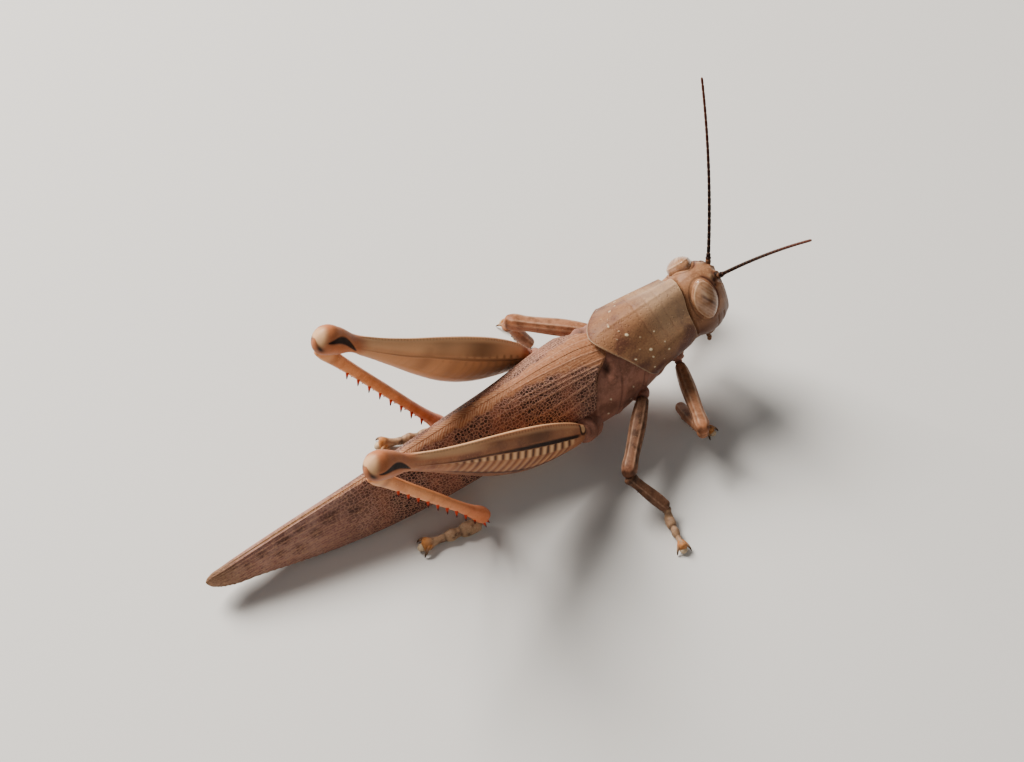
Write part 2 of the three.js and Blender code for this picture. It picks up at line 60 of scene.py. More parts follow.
# distance s, half width, top, widest level, bottom
HEAD = [
    (63.4, 3.85, -0.85, -5.4, -9.9),
    (64.4, 4.0, -0.65, -5.4, -10.3),
    (65.8, 3.9, -0.65, -5.6, -10.5),
    (67.1, 3.45, -0.95, -5.7, -10.3),
    (68.0, 2.85, -1.45, -5.7, -9.8),
    (68.6, 2.1, -2.15, -5.6, -9.1),
    (68.9, 1.1, -3.0, -5.5, -8.1),
]
MOUTH = [
    (64.2, 1.4, -9.0, -10.4, -11.8),
    (65.0, 2.1, -9.0, -10.6, -12.1),
    (66.1, 2.1, -8.6, -10.3, -11.7),
    (67.1, 1.6, -8.2, -9.8, -10.8),
    (67.7, 0.8, -8.6, -9.4, -10.1),
]
THORAX = [
    (43.6, 3.8, -3.0, -7.4, -11.0),
    (47, 5.0, -2.6, -8.3, -12.0),
    (51, 5.2, -2.3, -8.5, -12.1),
    (55, 4.5, -2.0, -8.2, -11.9),
    (59, 3.6, -1.9, -7.4, -11.3),
    (62.4, 2.8, -2.2, -6.2, -9.6),
]
ABDOMEN = [
    (14, 0.6, -4.0, -5.2, -6.2),
    (16.5, 1.2, -3.3, -5.1, -6.8),
    (21, 1.8, -2.9, -5.4, -7.7),
    (28, 2.5, -2.7, -5.9, -9.0),
    (36, 3.1, -2.8, -6.7, -10.3),
    (43.3, 3.8, -3.0, -7.2, -11.0),
]
ABDOMEN_SEGMENTS = 8
# distance s, half width, top, lower edge, fullness of the roof
WINGS = [
    (0, 0.1, -0.08, -0.3, 2),
    (0.22, 0.35, 0.2, -0.68, 2),
    (0.8, 0.6, 0.5, -1.2, 2),
    (2.2, 0.85, 0.6, -2.1, 2),
    (5.5, 1.2, 0.7, -3.1, 2),
    (10.4, 1.6, 0.75, -4.9, 2),
    (15, 2.05, 0.7, -6.3, 1.9),
    (21.6, 2.8, 0.6, -7.2, 1.8),
    (28, 3.45, 0.55, -7.3, 1.8),
    (34, 4.0, 0.4, -6.9, 1.7),
    (40, 4.6, 0.1, -6.5, 1.6),
    (46, 5.25, -0.25, -6.0, 1.6),
    (49.8, 5.2, -1.0, -5.4, 1.6),
    (52.4, 4.5, -2.2, -4.8, 1.7),
]
PRONOTUM = [
    (50.6, 5.2, -0.75, -5.4, -9.6),
    (54, 5.25, -0.5, -5.4, -10.0),
    (58, 4.85, -0.45, -5.4, -10.2),
    (61, 4.4, -0.5, -5.3, -10.2),
    (63.1, 4.1, -0.5, -5.3, -10.2),
]
# thickness of its middle and of its edges, how far round it goes, length on the crown, how far its
# hind margin slants forward, and the power that makes its section fuller than a circle
SHIELD = {
    "shell": 0.6, "edge": 0.22, "reach": math.radians(128), "length": 11.75, "slant": 5.65, "full": 0.92,
}
EYE = {"at": (65.25, 2.6, -2.35), "half": (1.5, 1.3, 2.5), "lean": 33, "rake": 8}
FEELER = {"root": (68.15, 1.05, -2.45), "start": -0.25, "length": 22, "bend": 0.9, "joints": 27}
FEELER_WAY = {"left": (0.25, 0.53, 0.82), "right": (0.11, 0.56, 0.82)}
FEELER_BOW = (0.55, -0.45, 0.15)
VALVES = [
    ((14.3, 0.3, -4.8), (12.2, 0.38, -4.9), (10.9, 0.4, -4.2), 0.44),
    ((14.3, 0.3, -5.3), (12.4, 0.38, -5.4), (11.3, 0.4, -5.5), 0.38),
]
PALPS = [
    ((64.9, 1.6, -11.4), (64.8, 1.9, -12.3), 0.27),
    ((66.0, 1.0, -11.4), (65.9, 1.05, -12.05), 0.26),
]
# place of the hip, lengths of three limb segments, girth beside the fore leg's, height of the heel
LEG_MEASURES = ("hip", "femur", "tibia", "tarsus", "girth", "heel")
LEGS = {
    "fore": dict(zip(LEG_MEASURES, ((60, 3.0, -11), 10.3, 8.5, 5.8, 1.0, 1.75))),
    "mid": dict(zip(LEG_MEASURES, ((53.9, 5.4, -8.8), 10.5, 6.2, 6.3, 1.05, 1.75))),
    "hind": dict(zip(LEG_MEASURES, ((45.3, 6.4, -6.75), 34.2, 30.0, 8.8, 1.4, 2.1))),
}
# bearing and rise of the femur, bearings of tibia and tarsus, and what the thigh gains on its shin
STANCE = {
    "fore_left": (32, 1, -160, 25, 0),
    "fore_right": (106.5, 0.9, -78, 67.5, 0),
    "mid_left": (142, 1, -14, 97, 0),
    "mid_right": (132, -8, 54, 100, 0),
    "hind_left": (182.7, 40.6, 2, 162, -0.4),
    "hind_right": (171.3, 35.3, -12.4, 186, 0.8),
}
# where each coxa leaves the thorax, and its half width; then the least length of any of them
COXA = {
    "fore": ((60.2, 2.4, -10.6), 1.3),
    "mid": ((53.8, 3.9, -9.8), 1.5),
    "hind": ((46.6, 4.4, -8.8), 2.3),
}
COXA_LEAST = 2.2
# how far the thigh's end reaches past the knee, and where shins turn, beyond the knee and below it
HIND_KNEE = 1.9
HIND_HINGE = (0.5, 1.3)
SMALL_HINGE = (0, 0.5)
# share of a segment's length, half thickness, half depth, and how far the jumping thigh sags
HIND_FEMUR = [
    (0, 0.9, 1.3, 0.2),
    (0.08, 1.25, 2.3, 0.6),
    (0.2, 1.45, 3.2, 1.1),
    (0.32, 1.45, 3.25, 1.25),
    (0.45, 1.25, 2.75, 1.15),
    (0.6, 1.05, 1.9, 0.9),
    (0.75, 0.9, 1.25, 0.5),
    (0.84, 1.0, 1.1, 0.2),
    (0.92, 1.45, 1.75, 0.1),
    (0.97, 1.4, 1.7, 0),
    (1, 0.7, 0.9, 0),
]
SMALL_FEMUR = [(0, 0.7, 0.8), (0.3, 0.95, 1.05), (0.75, 0.85, 0.9), (0.92, 0.9, 1.0), (1, 0.6, 0.7)]
SMALL_TIBIA = [(0, 0.5, 0.55), (0.3, 0.6, 0.62), (0.9, 0.62, 0.65), (1, 0.5, 0.55)]
HIND_TIBIA = [
    (0, 0.5, 0.75),
    (0.05, 0.62, 0.9),
    (0.12, 0.6, 0.8),
    (0.5, 0.6, 0.68),
    (0.88, 0.7, 0.75),
    (0.97, 0.9, 0.95),
    (1, 0.8, 0.85),
]
TARSUS = [
    (0, 0.5, 0.56),
    (0.125, 0.62, 0.74),
    (0.3, 0.6, 0.72),
    (0.38, 0.45, 0.48),
    (0.5, 0.52, 0.7),
    (0.6, 0.4, 0.46),
    (0.8, 0.4, 0.46),
    (0.88, 0.55, 0.68),
    (1, 0.5, 0.68),
]
SOLE = 0.58  # height of a foot's middle line over its sole, at girth 1
# cream dots on the shield: share of the way forward, share of the way round, radius, strength
SHIELD_DOTS = [
    (0.276, 0.162, 0.22, 1.0), (0.308, 0.482, 0.22, 1.0), (0.511, 0.322, 0.15, 0.9),
    (0.075, 0.462, 0.15, 0.9), (0.338, -0.272, 0.14, 0.9), (0.248, 0.563, 0.14, 0.9),
    (0.489, 0.613, 0.15, 0.85), (0.519, 0.516, 0.13, 0.7), (0.135, 0.686, 0.14, 0.8),
    (0.221, 0.0, 0.12, 0.6), (0.258, 0.088, 0.1, 0.35), (0.173, 0.145, 0.1, 0.35),
    (0.223, 0.396, 0.1, 0.4), (0.88, 0.219, 0.1, 0.35), (0.947, 0.356, 0.1, 0.35),
    (0.792, 0.326, 0.1, 0.3), (0.709, 0.379, 0.1, 0.3), (0.333, 0.679, 0.1, 0.35),
]
# how full each section is: 2 is an ellipse, more is squarer and less is sharper
FULLNESS = {"head": 2.25, "mouth": 2.2, "trunk": 2.3, "thigh": 1.8, "shin": 2.3, "small": 2.2, "foot": 2.1}
FACE_BACK = 0.92  # the face stands this share of the solid's length ahead of the neck


# ------------------------------------------------------------------ numbers and curves
def smooth(rows, places):
    """The columns of a table at any places: a cubic between rows, slopes from a parabola through three."""
    rows = np.asarray(rows, float)
    knots, values = rows[:, 0], rows[:, 1:]
    slopes = np.gradient(values, knots, axis=0)
    places = np.clip(np.asarray(places, float), knots[0], knots[-1])
    k = np.clip(np.searchsorted(knots, places, side="right") - 1, 0, len(knots) - 2)
    span = (knots[k + 1] - knots[k])[..., None]
    t = (places - knots[k])[..., None] / span
    start, end = values[k], values[k + 1]
    out = (2 * t**3 - 3 * t**2 + 1) * start + (3 * t**2 - 2 * t**3) * end
    out += ((t**3 - 2 * t**2 + t) * slopes[k] + (t**3 - t**2) * slopes[k + 1]) * span
    return np.moveaxis(out, -1, 0)


def signed(value, exponent):
    """A power that keeps its sign, which turns a circle into a fuller or leaner ring."""
    return np.sign(value) * np.abs(value) ** exponent


def unit(vector):
    """Vectors made one long."""
    vector = np.asarray(vector, float)
    return vector / np.linalg.norm(vector, axis=-1, keepdims=True)


def bump(distance, width):
    """A soft bell: 1 at no distance, 0.37 at one width."""
    return np.exp(-((distance / width) ** 2))


def ramp(value, low, high):
    """0 below low, 1 above high, and a smooth step between."""
    t = np.clip((np.asarray(value, float) - low) / (high - low), 0, 1)
    return t * t * (3 - 2 * t)


def window(value, low, full, last, high):
    """1 between full and last, 0 beyond low and high, with smooth steps."""
    return ramp(value, low, full) * ramp(value, high, last)


def ripple(value):
    """A wave from 0 to 1, at its top where the value is a whole number."""
    return 0.5 + 0.5 * np.cos(value * 2 * np.pi)


def rounded(share, power, least):
    """The share of its size that a thread keeps near an end, where share is 1."""
    return np.sqrt(np.clip(1 - share**power, least, 1))


def apart(turn, angle):
    """How far angles are from one, either way round."""
    return np.abs(np.angle(np.exp(1j * (turn - angle))))


def most(*layers):
    """The greatest of several layers at each place."""
    return np.maximum.reduce(np.broadcast_arrays(*layers))


def mirrored(place, side):
    """A place or direction of the left side, taken to a side."""
    return np.array(place) * [1, side, 1]


def stack(*columns):
    """Coordinates side by side in the last axis of one array."""
    return np.stack(np.broadcast_arrays(*columns), axis=-1).astype(float)


def tilt(s, y, v):
    """A trunk place in the room, before the origin is moved under the middle of the animal."""
    x = s * math.cos(PITCH) - v * math.sin(PITCH)
    return stack(x, y, TIP_HEIGHT + s * math.sin(PITCH) + v * math.cos(PITCH))


eye_box = np.array(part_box("eye_right")) / MM
ORIGIN = tilt(EYE["at"][0], -EYE["at"][1], EYE["at"][2]) - eye_box.mean(axis=0)
ORIGIN[2] = 0


def room(s, y, v):
    """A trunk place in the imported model's own frame."""
    return tilt(s, y, v) - ORIGIN


def bezier(root, bend, tip, t):
    """A quadratic curve through two ends, pulled towards a bend."""
    t = np.asarray(t)[:, None]
    return (1 - t) ** 2 * np.asarray(root) + 2 * t * (1 - t) * np.asarray(bend) + t**2 * np.asarray(tip)


# ------------------------------------------------------------------ meshes
def patch(points, marks=None, uv=None, finish=0):
    """A grid of points, rows along and columns round, with its marks and its map."""
    rows, cols = points.shape[:2]
    if uv is None:
        uv = stack(np.linspace(0, 1, rows)[:, None], np.linspace(0, 1, cols)[None, :])
    return {"points": points, "uv": uv, "marks": marks or {}, "finish": finish}


def grid_faces(part):
    """Quads between neighbouring rows and columns, and a fan of triangles to a pole at each end."""
    rows, cols = part["points"].shape[:2]
    left = np.arange(rows * cols).reshape(rows, cols)
    right = np.roll(left, -1, axis=1)
    quads = np.stack([left[:-1], right[:-1], right[1:], left[1:]], axis=-1).reshape(-1, 4)
    first_pole, last_pole = (np.full(cols, rows * cols + k) for k in (0, 1))
    first = np.stack([right[0], left[0], first_pole], axis=-1)
    last = np.stack([left[-1], right[-1], last_pole], axis=-1)
    triangles = np.concatenate([first, last])

    def with_poles(grid):
        return np.concatenate([grid.reshape(rows * cols, -1), grid[[0, -1]].mean(axis=1).reshape(2, -1)])

    marks = {}
    for name, value in part["marks"].items():
        marks[name] = with_poles(np.broadcast_to(value, (rows, cols))).ravel()
    points = with_poles(part["points"])
    if volume(points, quads, triangles) < 0:
        quads, triangles = quads[:, ::-1], triangles[:, ::-1]
    return points, with_poles(part["uv"]), marks, quads, triangles


def volume(points, quads, triangles):
    """Six times the volume inside the faces; negative when they face inwards."""
    points = points - points.mean(axis=0)
    all_triangles = np.concatenate([quads[:, :3], quads[:, [0, 2, 3]], triangles])
    a, b, c = (points[all_triangles[:, k]] for k in range(3))
    return float(np.einsum("ij,ij->i", a, np.cross(b, c)).sum())


def piece(name, parts, materials, nodes):
    """One object from one or more patches, placed in metres, riding on the body and standing for nodes."""
    points, uv, marks, quads, triangles = zip(*(grid_faces(part) for part in parts))
    starts = np.cumsum([0] + [len(grid) for grid in points])
    quads = [faces + start for faces, start in zip(quads, starts)]
    triangles = [faces + start for faces, start in zip(triangles, starts)]
    corners = np.concatenate([faces.ravel() for faces in quads + triangles]).astype(np.int32)
    sizes = np.concatenate([np.full(len(faces), faces.shape[1]) for faces in quads + triangles])
    finish_of = [np.full(len(faces), part["finish"]) for faces, part in zip(quads + triangles, parts * 2)]
    mesh = bpy.data.meshes.new(name)
    mesh.vertices.add(int(starts[-1]))
    mesh.vertices.foreach_set("co", (np.concatenate(points) * MM).astype(np.float32).ravel())
    mesh.loops.add(len(corners))
    mesh.loops.foreach_set("vertex_index", corners)
    mesh.polygons.add(len(sizes))
    mesh.polygons.foreach_set("loop_start", (np.cumsum(sizes) - sizes).astype(np.int32))
    mesh.polygons.foreach_set("loop_total", sizes.astype(np.int32))
    mesh.polygons.foreach_set("material_index", np.concatenate(finish_of).astype(np.int32))
    mesh.polygons.foreach_set("use_smooth", np.ones(len(sizes), bool))
    mesh.update(calc_edges=True)
    layer = mesh.uv_layers.new(name="surface")
    layer.data.foreach_set("uv", np.concatenate(uv)[corners].astype(np.float32).ravel())
    for mark_name in sorted({name for layers in marks for name in layers}):
        values = [layers.get(mark_name, np.zeros(len(grid))) for layers, grid in zip(marks, points)]
        attribute = mesh.attributes.new(mark_name, "FLOAT", "POINT")
        attribute.data.foreach_set("value", np.concatenate(values).astype(np.float32))
    for material in materials:
        mesh.materials.append(material)
    made = bpy.data.objects.new(name, mesh)
    bpy.context.scene.collection.objects.link(made)
    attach(made, "root")
    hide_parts(*nodes)


def outward(points, wrap=True):
    """The unit normal of a grid at each point, away from the line through the middles of its rows."""
    along = np.gradient(points, axis=0)
    if wrap:
        ring = np.concatenate([points[:, -1:], points, points[:, :1]], axis=1)
        across = (ring[:, 2:] - ring[:, :-2]) / 2
    else:
        across = np.gradient(points, axis=1)
    normal = np.cross(along, across)
    normal /= np.maximum(np.linalg.norm(normal, axis=-1, keepdims=True), 1e-9)
    out = points - points.mean(axis=1, keepdims=True)
    return normal * np.sign(np.einsum("ijk,ijk->", normal, out))


def raised(points, height, wrap=True):
    """A grid moved along its normals by a height at each point."""
    return points + outward(points, wrap) * np.broadcast_to(height, points.shape[:2])[..., None]


def girdle(count):
    """Angles once round a section, without repeating the first."""
    return np.linspace(0, 2 * np.pi, count, endpoint=False)[None, :]


def limb(line, size, across, fullness=2.0, up=(0, 0, 1)):
    """Sections along a line: half thickness lies level, half depth stands in the upright plane."""
    way = unit(np.gradient(line, axis=0))
    side = unit(np.cross(np.broadcast_to(up, way.shape), way))
    over = np.cross(way, side)
    thick, deep = size[0][:, None], size[1][:, None]
    sag = size[2][:, None] if len(size) > 2 else 0
    a = thick * signed(np.cos(across), 2 / fullness)
    b = deep * signed(np.sin(across), 2 / fullness) - sag
    return line[:, None] + side[:, None] * a[..., None] + over[:, None] * b[..., None]


def thread(line, size, around, marks, up=(0, 0, 1), finish=0):
    """A round limb along a line, with marks given along it."""
    marks = {name: value[:, None] for name, value in marks.items()}
    return patch(limb(line, (size, size), girdle(around), up=up), marks, finish=finish)


def eased(count, ends):
    """Steps from 0 to 1, closer together near both ends."""
    t = np.linspace(0, 1, count)
    return (1 - ends) * t + ends * (0.5 - 0.5 * np.cos(np.pi * t))


def ball(centre, half, rows, cols):
    """An ellipsoid, its rows from pole to pole."""
    lift = np.linspace(-0.5, 0.5, rows + 2)[1:-1, None] * np.pi
    spin = girdle(cols)
    local = stack(np.cos(lift) * np.cos(spin), np.cos(lift) * np.sin(spin), np.sin(lift)) * np.asarray(half)
    return np.asarray(centre) + local


# ------------------------------------------------------------------ finishes
CHITIN_INDEX = 1.5
CHITIN_SHINE = 0.1  # a thin bloom of wax and dust takes most of the gleam
PIT_DEPTH = 1.4  # of the shield's pits, beside the height of the grain
FACET_MM = 0.09
DARK, CREAM = "1c0f09", "d9c3a0"


def linear(code):
    """An sRGB hex colour as the linear one that shaders mix."""
    parts = [int(code[k : k + 2], 16) / 255 for k in (0, 2, 4)]
    return [c / 12.92 if c <= 0.04045 else ((c + 0.055) / 1.055) ** 2.4 for c in parts] + [1.0]


def put(tree, kind, inputs=None, **settings):
    """Adds one shader node with its settings, and wires or sets each of its inputs."""
    made = tree.nodes.new(kind)
    for name, value in settings.items():
        setattr(made, name, value)
    for key, value in (inputs or {}).items():
        if isinstance(value, bpy.types.NodeSocket):
            tree.links.new(value, made.inputs[key])
        else:
            made.inputs[key].default_value = value
    return made


def new_finish(name):
    """An empty material with one shader: horny, slightly waxy, refracting as chitin does."""
    made = bpy.data.materials.new(name)
    made.use_nodes = True
    made.node_tree.nodes.clear()
    inputs = {"IOR": CHITIN_INDEX, "Specular IOR Level": CHITIN_SHINE}
    shader = put(made.node_tree, "ShaderNodeBsdfPrincipled", inputs)
    put(made.node_tree, "ShaderNodeOutputMaterial", {0: shader.outputs[0]})
    return made, made.node_tree, shader


def speckle(tree, vector, size_mm, detail=3.0, rough=0.55):
    """Cloudy noise whose blotches are about size_mm across."""
    inputs = {"Vector": vector, "Scale": 1 / (size_mm * MM), "Detail": detail, "Roughness": rough}
    return put(tree, "ShaderNodeTexNoise", inputs)


def between(tree, value, low, high, start=0.0, end=1.0):
    """A value stretched from low..high to start..end, and held there."""
    inputs = {0: value, 1: low, 2: high, 3: start, 4: end}
    return put(tree, "ShaderNodeMapRange", inputs, interpolation_type="SMOOTHSTEP").outputs[0]


def blended(tree, amount, under, over):
    """A colour or hex code, with another laid over it by an amount."""
    under, over = (linear(colour) if isinstance(colour, str) else colour for colour in (under, over))
    return put(tree, "ShaderNodeMix", {0: amount, 6: under, 7: over}, data_type="RGBA").outputs[2]


def maths(tree, how, *values):
    """One sum of values, such as MAXIMUM or MULTIPLY_ADD."""
    return put(tree, "ShaderNodeMath", dict(enumerate(values)), operation=how).outputs[0]


def times(tree, first, second):
    """Two values multiplied."""
    return maths(tree, "MULTIPLY", first, second)


def painted(tree, mark_name):
    """A mark that the mesh carries, from 0 to 1."""
    return put(tree, "ShaderNodeAttribute", attribute_name=mark_name).outputs["Fac"]


def surfaced(tree, shader, colour, height, depth_mm, strength=1.0):
    """Gives a shader its colour, and a relief of a depth in mm."""
    relief = {"Height": height, "Distance": depth_mm * MM, "Strength": strength}
    tree.links.new(put(tree, "ShaderNodeBump", relief).outputs[0], shader.inputs["Normal"])
    tree.links.new(colour, shader.inputs["Base Color"])


def cuticle(name, shades, marks, mottle, grain, rough, relief=0.015, pits=0.0):
    """
    Tanned chitin: a base shade clouded with a deeper and a brighter one, painted where marks say,
    with fine pits or grain in its surface. Sizes are in mm.
    """
    made, tree, shader = new_finish(name)
    base, deep, bright = shades
    place = put(tree, "ShaderNodeTexCoord").outputs["Object"]
    clouds = speckle(tree, place, mottle).outputs[0]
    grains = speckle(tree, place, grain, 4.0, 0.65).outputs[0]
    # noise lies about 0.5, so these take its middle for the clouds and its two ends for the grain
    colour = blended(tree, between(tree, clouds, 0.42, 0.66), base, deep)
    colour = blended(tree, between(tree, grains, 0.52, 0.74, 0.0, 0.7), colour, bright)
    colour = blended(tree, between(tree, grains, 0.48, 0.28, 0.0, 0.5), colour, deep)
    height = grains
    if pits:
        dimple = put(tree, "ShaderNodeTexVoronoi", {"Vector": place, "Scale": 1 / (pits * MM)}).outputs[0]
        hollow = between(tree, dimple, 0.1, 0.42)
        height = maths(tree, "MULTIPLY_ADD", hollow, PIT_DEPTH, height)
        colour = blended(tree, between(tree, dimple, 0.32, 0.08, 0.0, 0.42), colour, deep)
    for mark_name, code, strength in marks:
        broken = between(tree, grains, 0.2, 0.5, 0.9 * strength, strength)
        colour = blended(tree, times(tree, painted(tree, mark_name), broken), colour, code)
    tree.links.new(between(tree, grains, 0.3, 0.7, rough - 0.07, rough + 0.1), shader.inputs["Roughness"])
    surfaced(tree, shader, colour, height, relief)
    return made


# smooth brown head with rusty grooves, straw-coloured keels and a soft, slightly waxy gleam; its dark and
# warm marks also carry painted shade under the shield, on the cheeks, at the eyes' inner edges and in the
# feeler sockets
head_chitin = cuticle(
    "chitin_smooth_head", ("96694a", "7b5238", "ae835f"),
    [("warm", "5a3029", 0.75), ("dark", DARK, 0.92), ("pale", "dcb890", 0.85)],
    mottle=1.8, grain=0.22, rough=0.42, relief=0.012,
)
# jaws a shade browner, a little glossier
mouth_chitin = cuticle(
    "chitin_smooth_jaws", ("80583d", "5a3926", "9c7251"), [("dark", DARK, 0.85)],
    mottle=0.9, grain=0.2, rough=0.4, relief=0.012,
)
# shield pitted like leather, which breaks its gleam; its pits are drawn twice their real width to show
shield_chitin = cuticle(
    "chitin_pitted_shield", ("8d6648", "664436", "a97e57"),
    [("dark", "40272a", 0.8), ("warm", "8f4f2a", 0.5), ("pale", "ecd6b0", 1.0)],
    mottle=3.0, grain=0.25, rough=0.46, relief=0.02, pits=0.3,
)
# rosy brown sides with cream spots, duller than the head
side_chitin = cuticle(
    "chitin_smooth_thorax", ("936453", "785040", "ab7a64"), [("dark", DARK, 0.9), ("pale", "e3cfb0", 0.95)],
    mottle=1.6, grain=0.25, rough=0.45,
)
# abdomen dull, with darker folds between its rings
belly_chitin = cuticle(
    "chitin_folded_abdomen", ("866244", "66492f", "a9855c"), [("dark", DARK, 0.8), ("pale", CREAM, 0.5)],
    mottle=1.5, grain=0.25, rough=0.5,
)
# middle leg in the shade of the wing: the small legs' chitin painted darker as painted shade, deep brown
# with paler ridges
mid_leg_painted_shade_chitin = cuticle(
    "chitin_ridged_mid_leg_painted_shade", ("6c4a37", "4a3225", "8a674c"),
    [("warm", "7d4630", 0.6), ("pale", "c49c7e", 0.7), ("dark", DARK, 0.85)],
    mottle=1.0, grain=0.22, rough=0.42,
)
# other small legs: the same chitin painted lighter as painted light, fawn with pale dotted ridges
small_legs_painted_light_chitin = cuticle(
    "chitin_ridged_small_legs_painted_light", ("9c6a4c", "7c5239", "b68263"),
    [("warm", "a05a34", 0.6), ("pale", "d9b596", 0.75), ("dark", DARK, 0.85)],
    mottle=1.0, grain=0.22, rough=0.42,
)
# jumping thigh: warm brown, cream and near black in a crisp pattern, with a smooth gleam; its cream also
# paints a highlight on the knee and the upper face, and its near black a shadow round the hip
thigh_chitin = cuticle(
    "chitin_ridged_thighs", ("a06746", "81503a", "b68058"),
    [("warm", "b46b43", 0.85), ("pale", "dbad80", 0.9), ("dark", "120805", 0.98)],
    mottle=2.6, grain=0.22, rough=0.4,
)
# jumping shin: waxy orange that reddens towards the foot, with red spines tipped black
shin_chitin = cuticle(
    "chitin_waxy_shins", ("db8f5c", "c67a4a", "e8a776"),
    [("warm", "c93a22", 0.95), ("pale", "e0ab7c", 0.7), ("dark", "240c08", 0.95)],
    mottle=2.2, grain=0.25, rough=0.34, relief=0.01,
)
# feet mottled grey-brown, with whitish pads below and honey-coloured last joints
foot_chitin = cuticle(
    "chitin_padded_feet", ("a58264", "644937", "c9a887"),
    [("warm", "b8702f", 0.8), ("pale", CREAM, 0.8), ("dark", DARK, 0.85)],
    mottle=0.8, grain=0.2, rough=0.42, relief=0.012,
)
# feelers nearly black, with a thin gleam and tan rings between their joints
feeler_chitin = cuticle(
    "chitin_black_feelers", ("1f100d", "120907", "35201a"),
    [("warm", "54261a", 0.8), ("pale", "9a6c4e", 0.9)],
    mottle=0.8, grain=0.15, rough=0.4, relief=0.01,
)


def eye_cornea():
    """
    Eye: a clear waxy cornea over brown pigment, with upright dark streaks. Its facets are drawn three
    times their real width of 0.03 mm, so that they dull the gleam as the real ones do.
    """
    made, tree, shader = new_finish("cornea_streaked_eye")
    place = put(tree, "ShaderNodeTexCoord").outputs["Object"]
    clouds = speckle(tree, place, 0.7, 2.0).outputs[0]
    colour = blended(tree, between(tree, clouds, 0.35, 0.65), "a87b5c", "8f6446")
    # the pale mark carries the rim and a painted highlight; the dark mark carries the streaks and some
    # painted shade
    for mark_name, code, strength in (("dark", "4a2c1e", 0.8), ("pale", "d2b18c", 0.65)):
        colour = blended(tree, times(tree, painted(tree, mark_name), strength), colour, code)
    facets = put(tree, "ShaderNodeTexVoronoi", {"Vector": place, "Scale": 1 / (FACET_MM * MM)}).outputs[0]
    for socket, value in (("Roughness", 0.2), ("Coat Weight", 0.6), ("Coat Roughness", 0.12)):
        shader.inputs[socket].default_value = value
    surfaced(tree, shader, colour, facets, 0.003, 0.6)
    return made


eye_finish = eye_cornea()
WING_MARKS = ("dark", "field", "vein", "warm", "blotch", "ladder", "freckle", "mauve", "olive")


def wing_membrane():
    """
    Tegmen: leathery forewing. A tan net of veins stands round dark cells; the cell map is in real
    sizes, stretched along the wing towards the tip. Marks say where cells are dark, where the field
    is pale, and where veins run.
    """
    made, tree, shader = new_finish("tegmen_leathery_net_veined")
    place = put(tree, "ShaderNodeTexCoord").outputs["Object"]
    cells = put(tree, "ShaderNodeUVMap", uv_map="surface").outputs[0]
    clouds = speckle(tree, place, 3.2).outputs[0]
    grains = speckle(tree, place, 0.3, 4.0, 0.6).outputs[0]
    bend = speckle(tree, place, 0.8, 2.0).outputs["Color"]
    swayed = put(tree, "ShaderNodeMix", {0: 0.006, 4: cells, 5: bend}, data_type="VECTOR").outputs[1]
    net_of = {"Vector": swayed, "Scale": 1 / UV_MM, "Randomness": 0.9}
    flat = {"voronoi_dimensions": "2D"}
    edge = put(tree, "ShaderNodeTexVoronoi", net_of, feature="DISTANCE_TO_EDGE", **flat).outputs[0]
    cell = put(tree, "ShaderNodeTexVoronoi", net_of, **flat).outputs["Color"]
    tone = put(tree, "ShaderNodeSeparateColor", {0: cell}).outputs[0]
    reading = {name: painted(tree, name) for name in WING_MARKS}
    # the skin between the veins: rosy towards the tip, blotched, warm in places, tan beside the ridge
    skin = blended(tree, between(tree, clouds, 0.35, 0.68), "8b6151", "99705e")
    rosy = times(tree, between(tree, clouds, 0.5, 0.62, 0.0, 0.5), reading["mauve"])
    for amount, code in (
        (reading["mauve"], "896257"),
        (rosy, "aa8577"),
        (times(tree, reading["blotch"], 0.9), "432a25"),
        (times(tree, reading["warm"], 0.6), "8a523b"),
        (reading["field"], "936142"),
    ):
        skin = blended(tree, amount, skin, code)
    # dark cells, and over them the net, the long veins and the rest
    net = between(tree, edge, 0.05, 0.15)
    filled = times(tree, reading["dark"], between(tree, tone, 0.1, 0.6, 0.5, 1.0))
    depth = blended(tree, reading["warm"], "291712", "512d20")
    colour = blended(tree, times(tree, net, filled), skin, depth)
    faint = times(tree, reading["mauve"], 0.3)
    netted = times(tree, maths(tree, "MAXIMUM", reading["dark"], faint), 0.7)
    for amount, code in (
        (times(tree, between(tree, net, 0.6, 0.0), netted), "b08573"),
        (times(tree, reading["ladder"], 0.75), "c79a74"),
        (times(tree, reading["vein"], 0.6), "b4846a"),
        (times(tree, reading["freckle"], 0.6), "8f4a1e"),
        (reading["olive"], "6d5638"),
        (between(tree, grains, 0.52, 0.7, 0.0, 0.5), "b98f70"),
        (between(tree, grains, 0.48, 0.3, 0.0, 0.5), "3d271e"),
    ):
        colour = blended(tree, amount, colour, code)
    tree.links.new(between(tree, grains, 0.3, 0.7, 0.55, 0.72), shader.inputs["Roughness"])
    sunk = times(tree, net, maths(tree, "MULTIPLY_ADD", reading["dark"], -0.8, -0.2))
    surfaced(tree, shader, colour, maths(tree, "MULTIPLY_ADD", grains, 0.4, sunk), 0.03)
    return made


wing_finish = wing_membrane()


# ------------------------------------------------------------------ head
HEAD_START, FACE_START, FACE_TIP = 62.3, HEAD[0][0], HEAD[-1][0]
SOCKET, BROW = (67.8, 1.1, -2.55), (67.2, 1.1, -1.45)
# rusty pits between eye and feeler: place and radius
FACE_PITS = [((67.75, 0.85, -1.95), 0.3), ((67.42, 1.5, -1.85), 0.42), ((67.2, 2.0, -2.1), 0.28)]


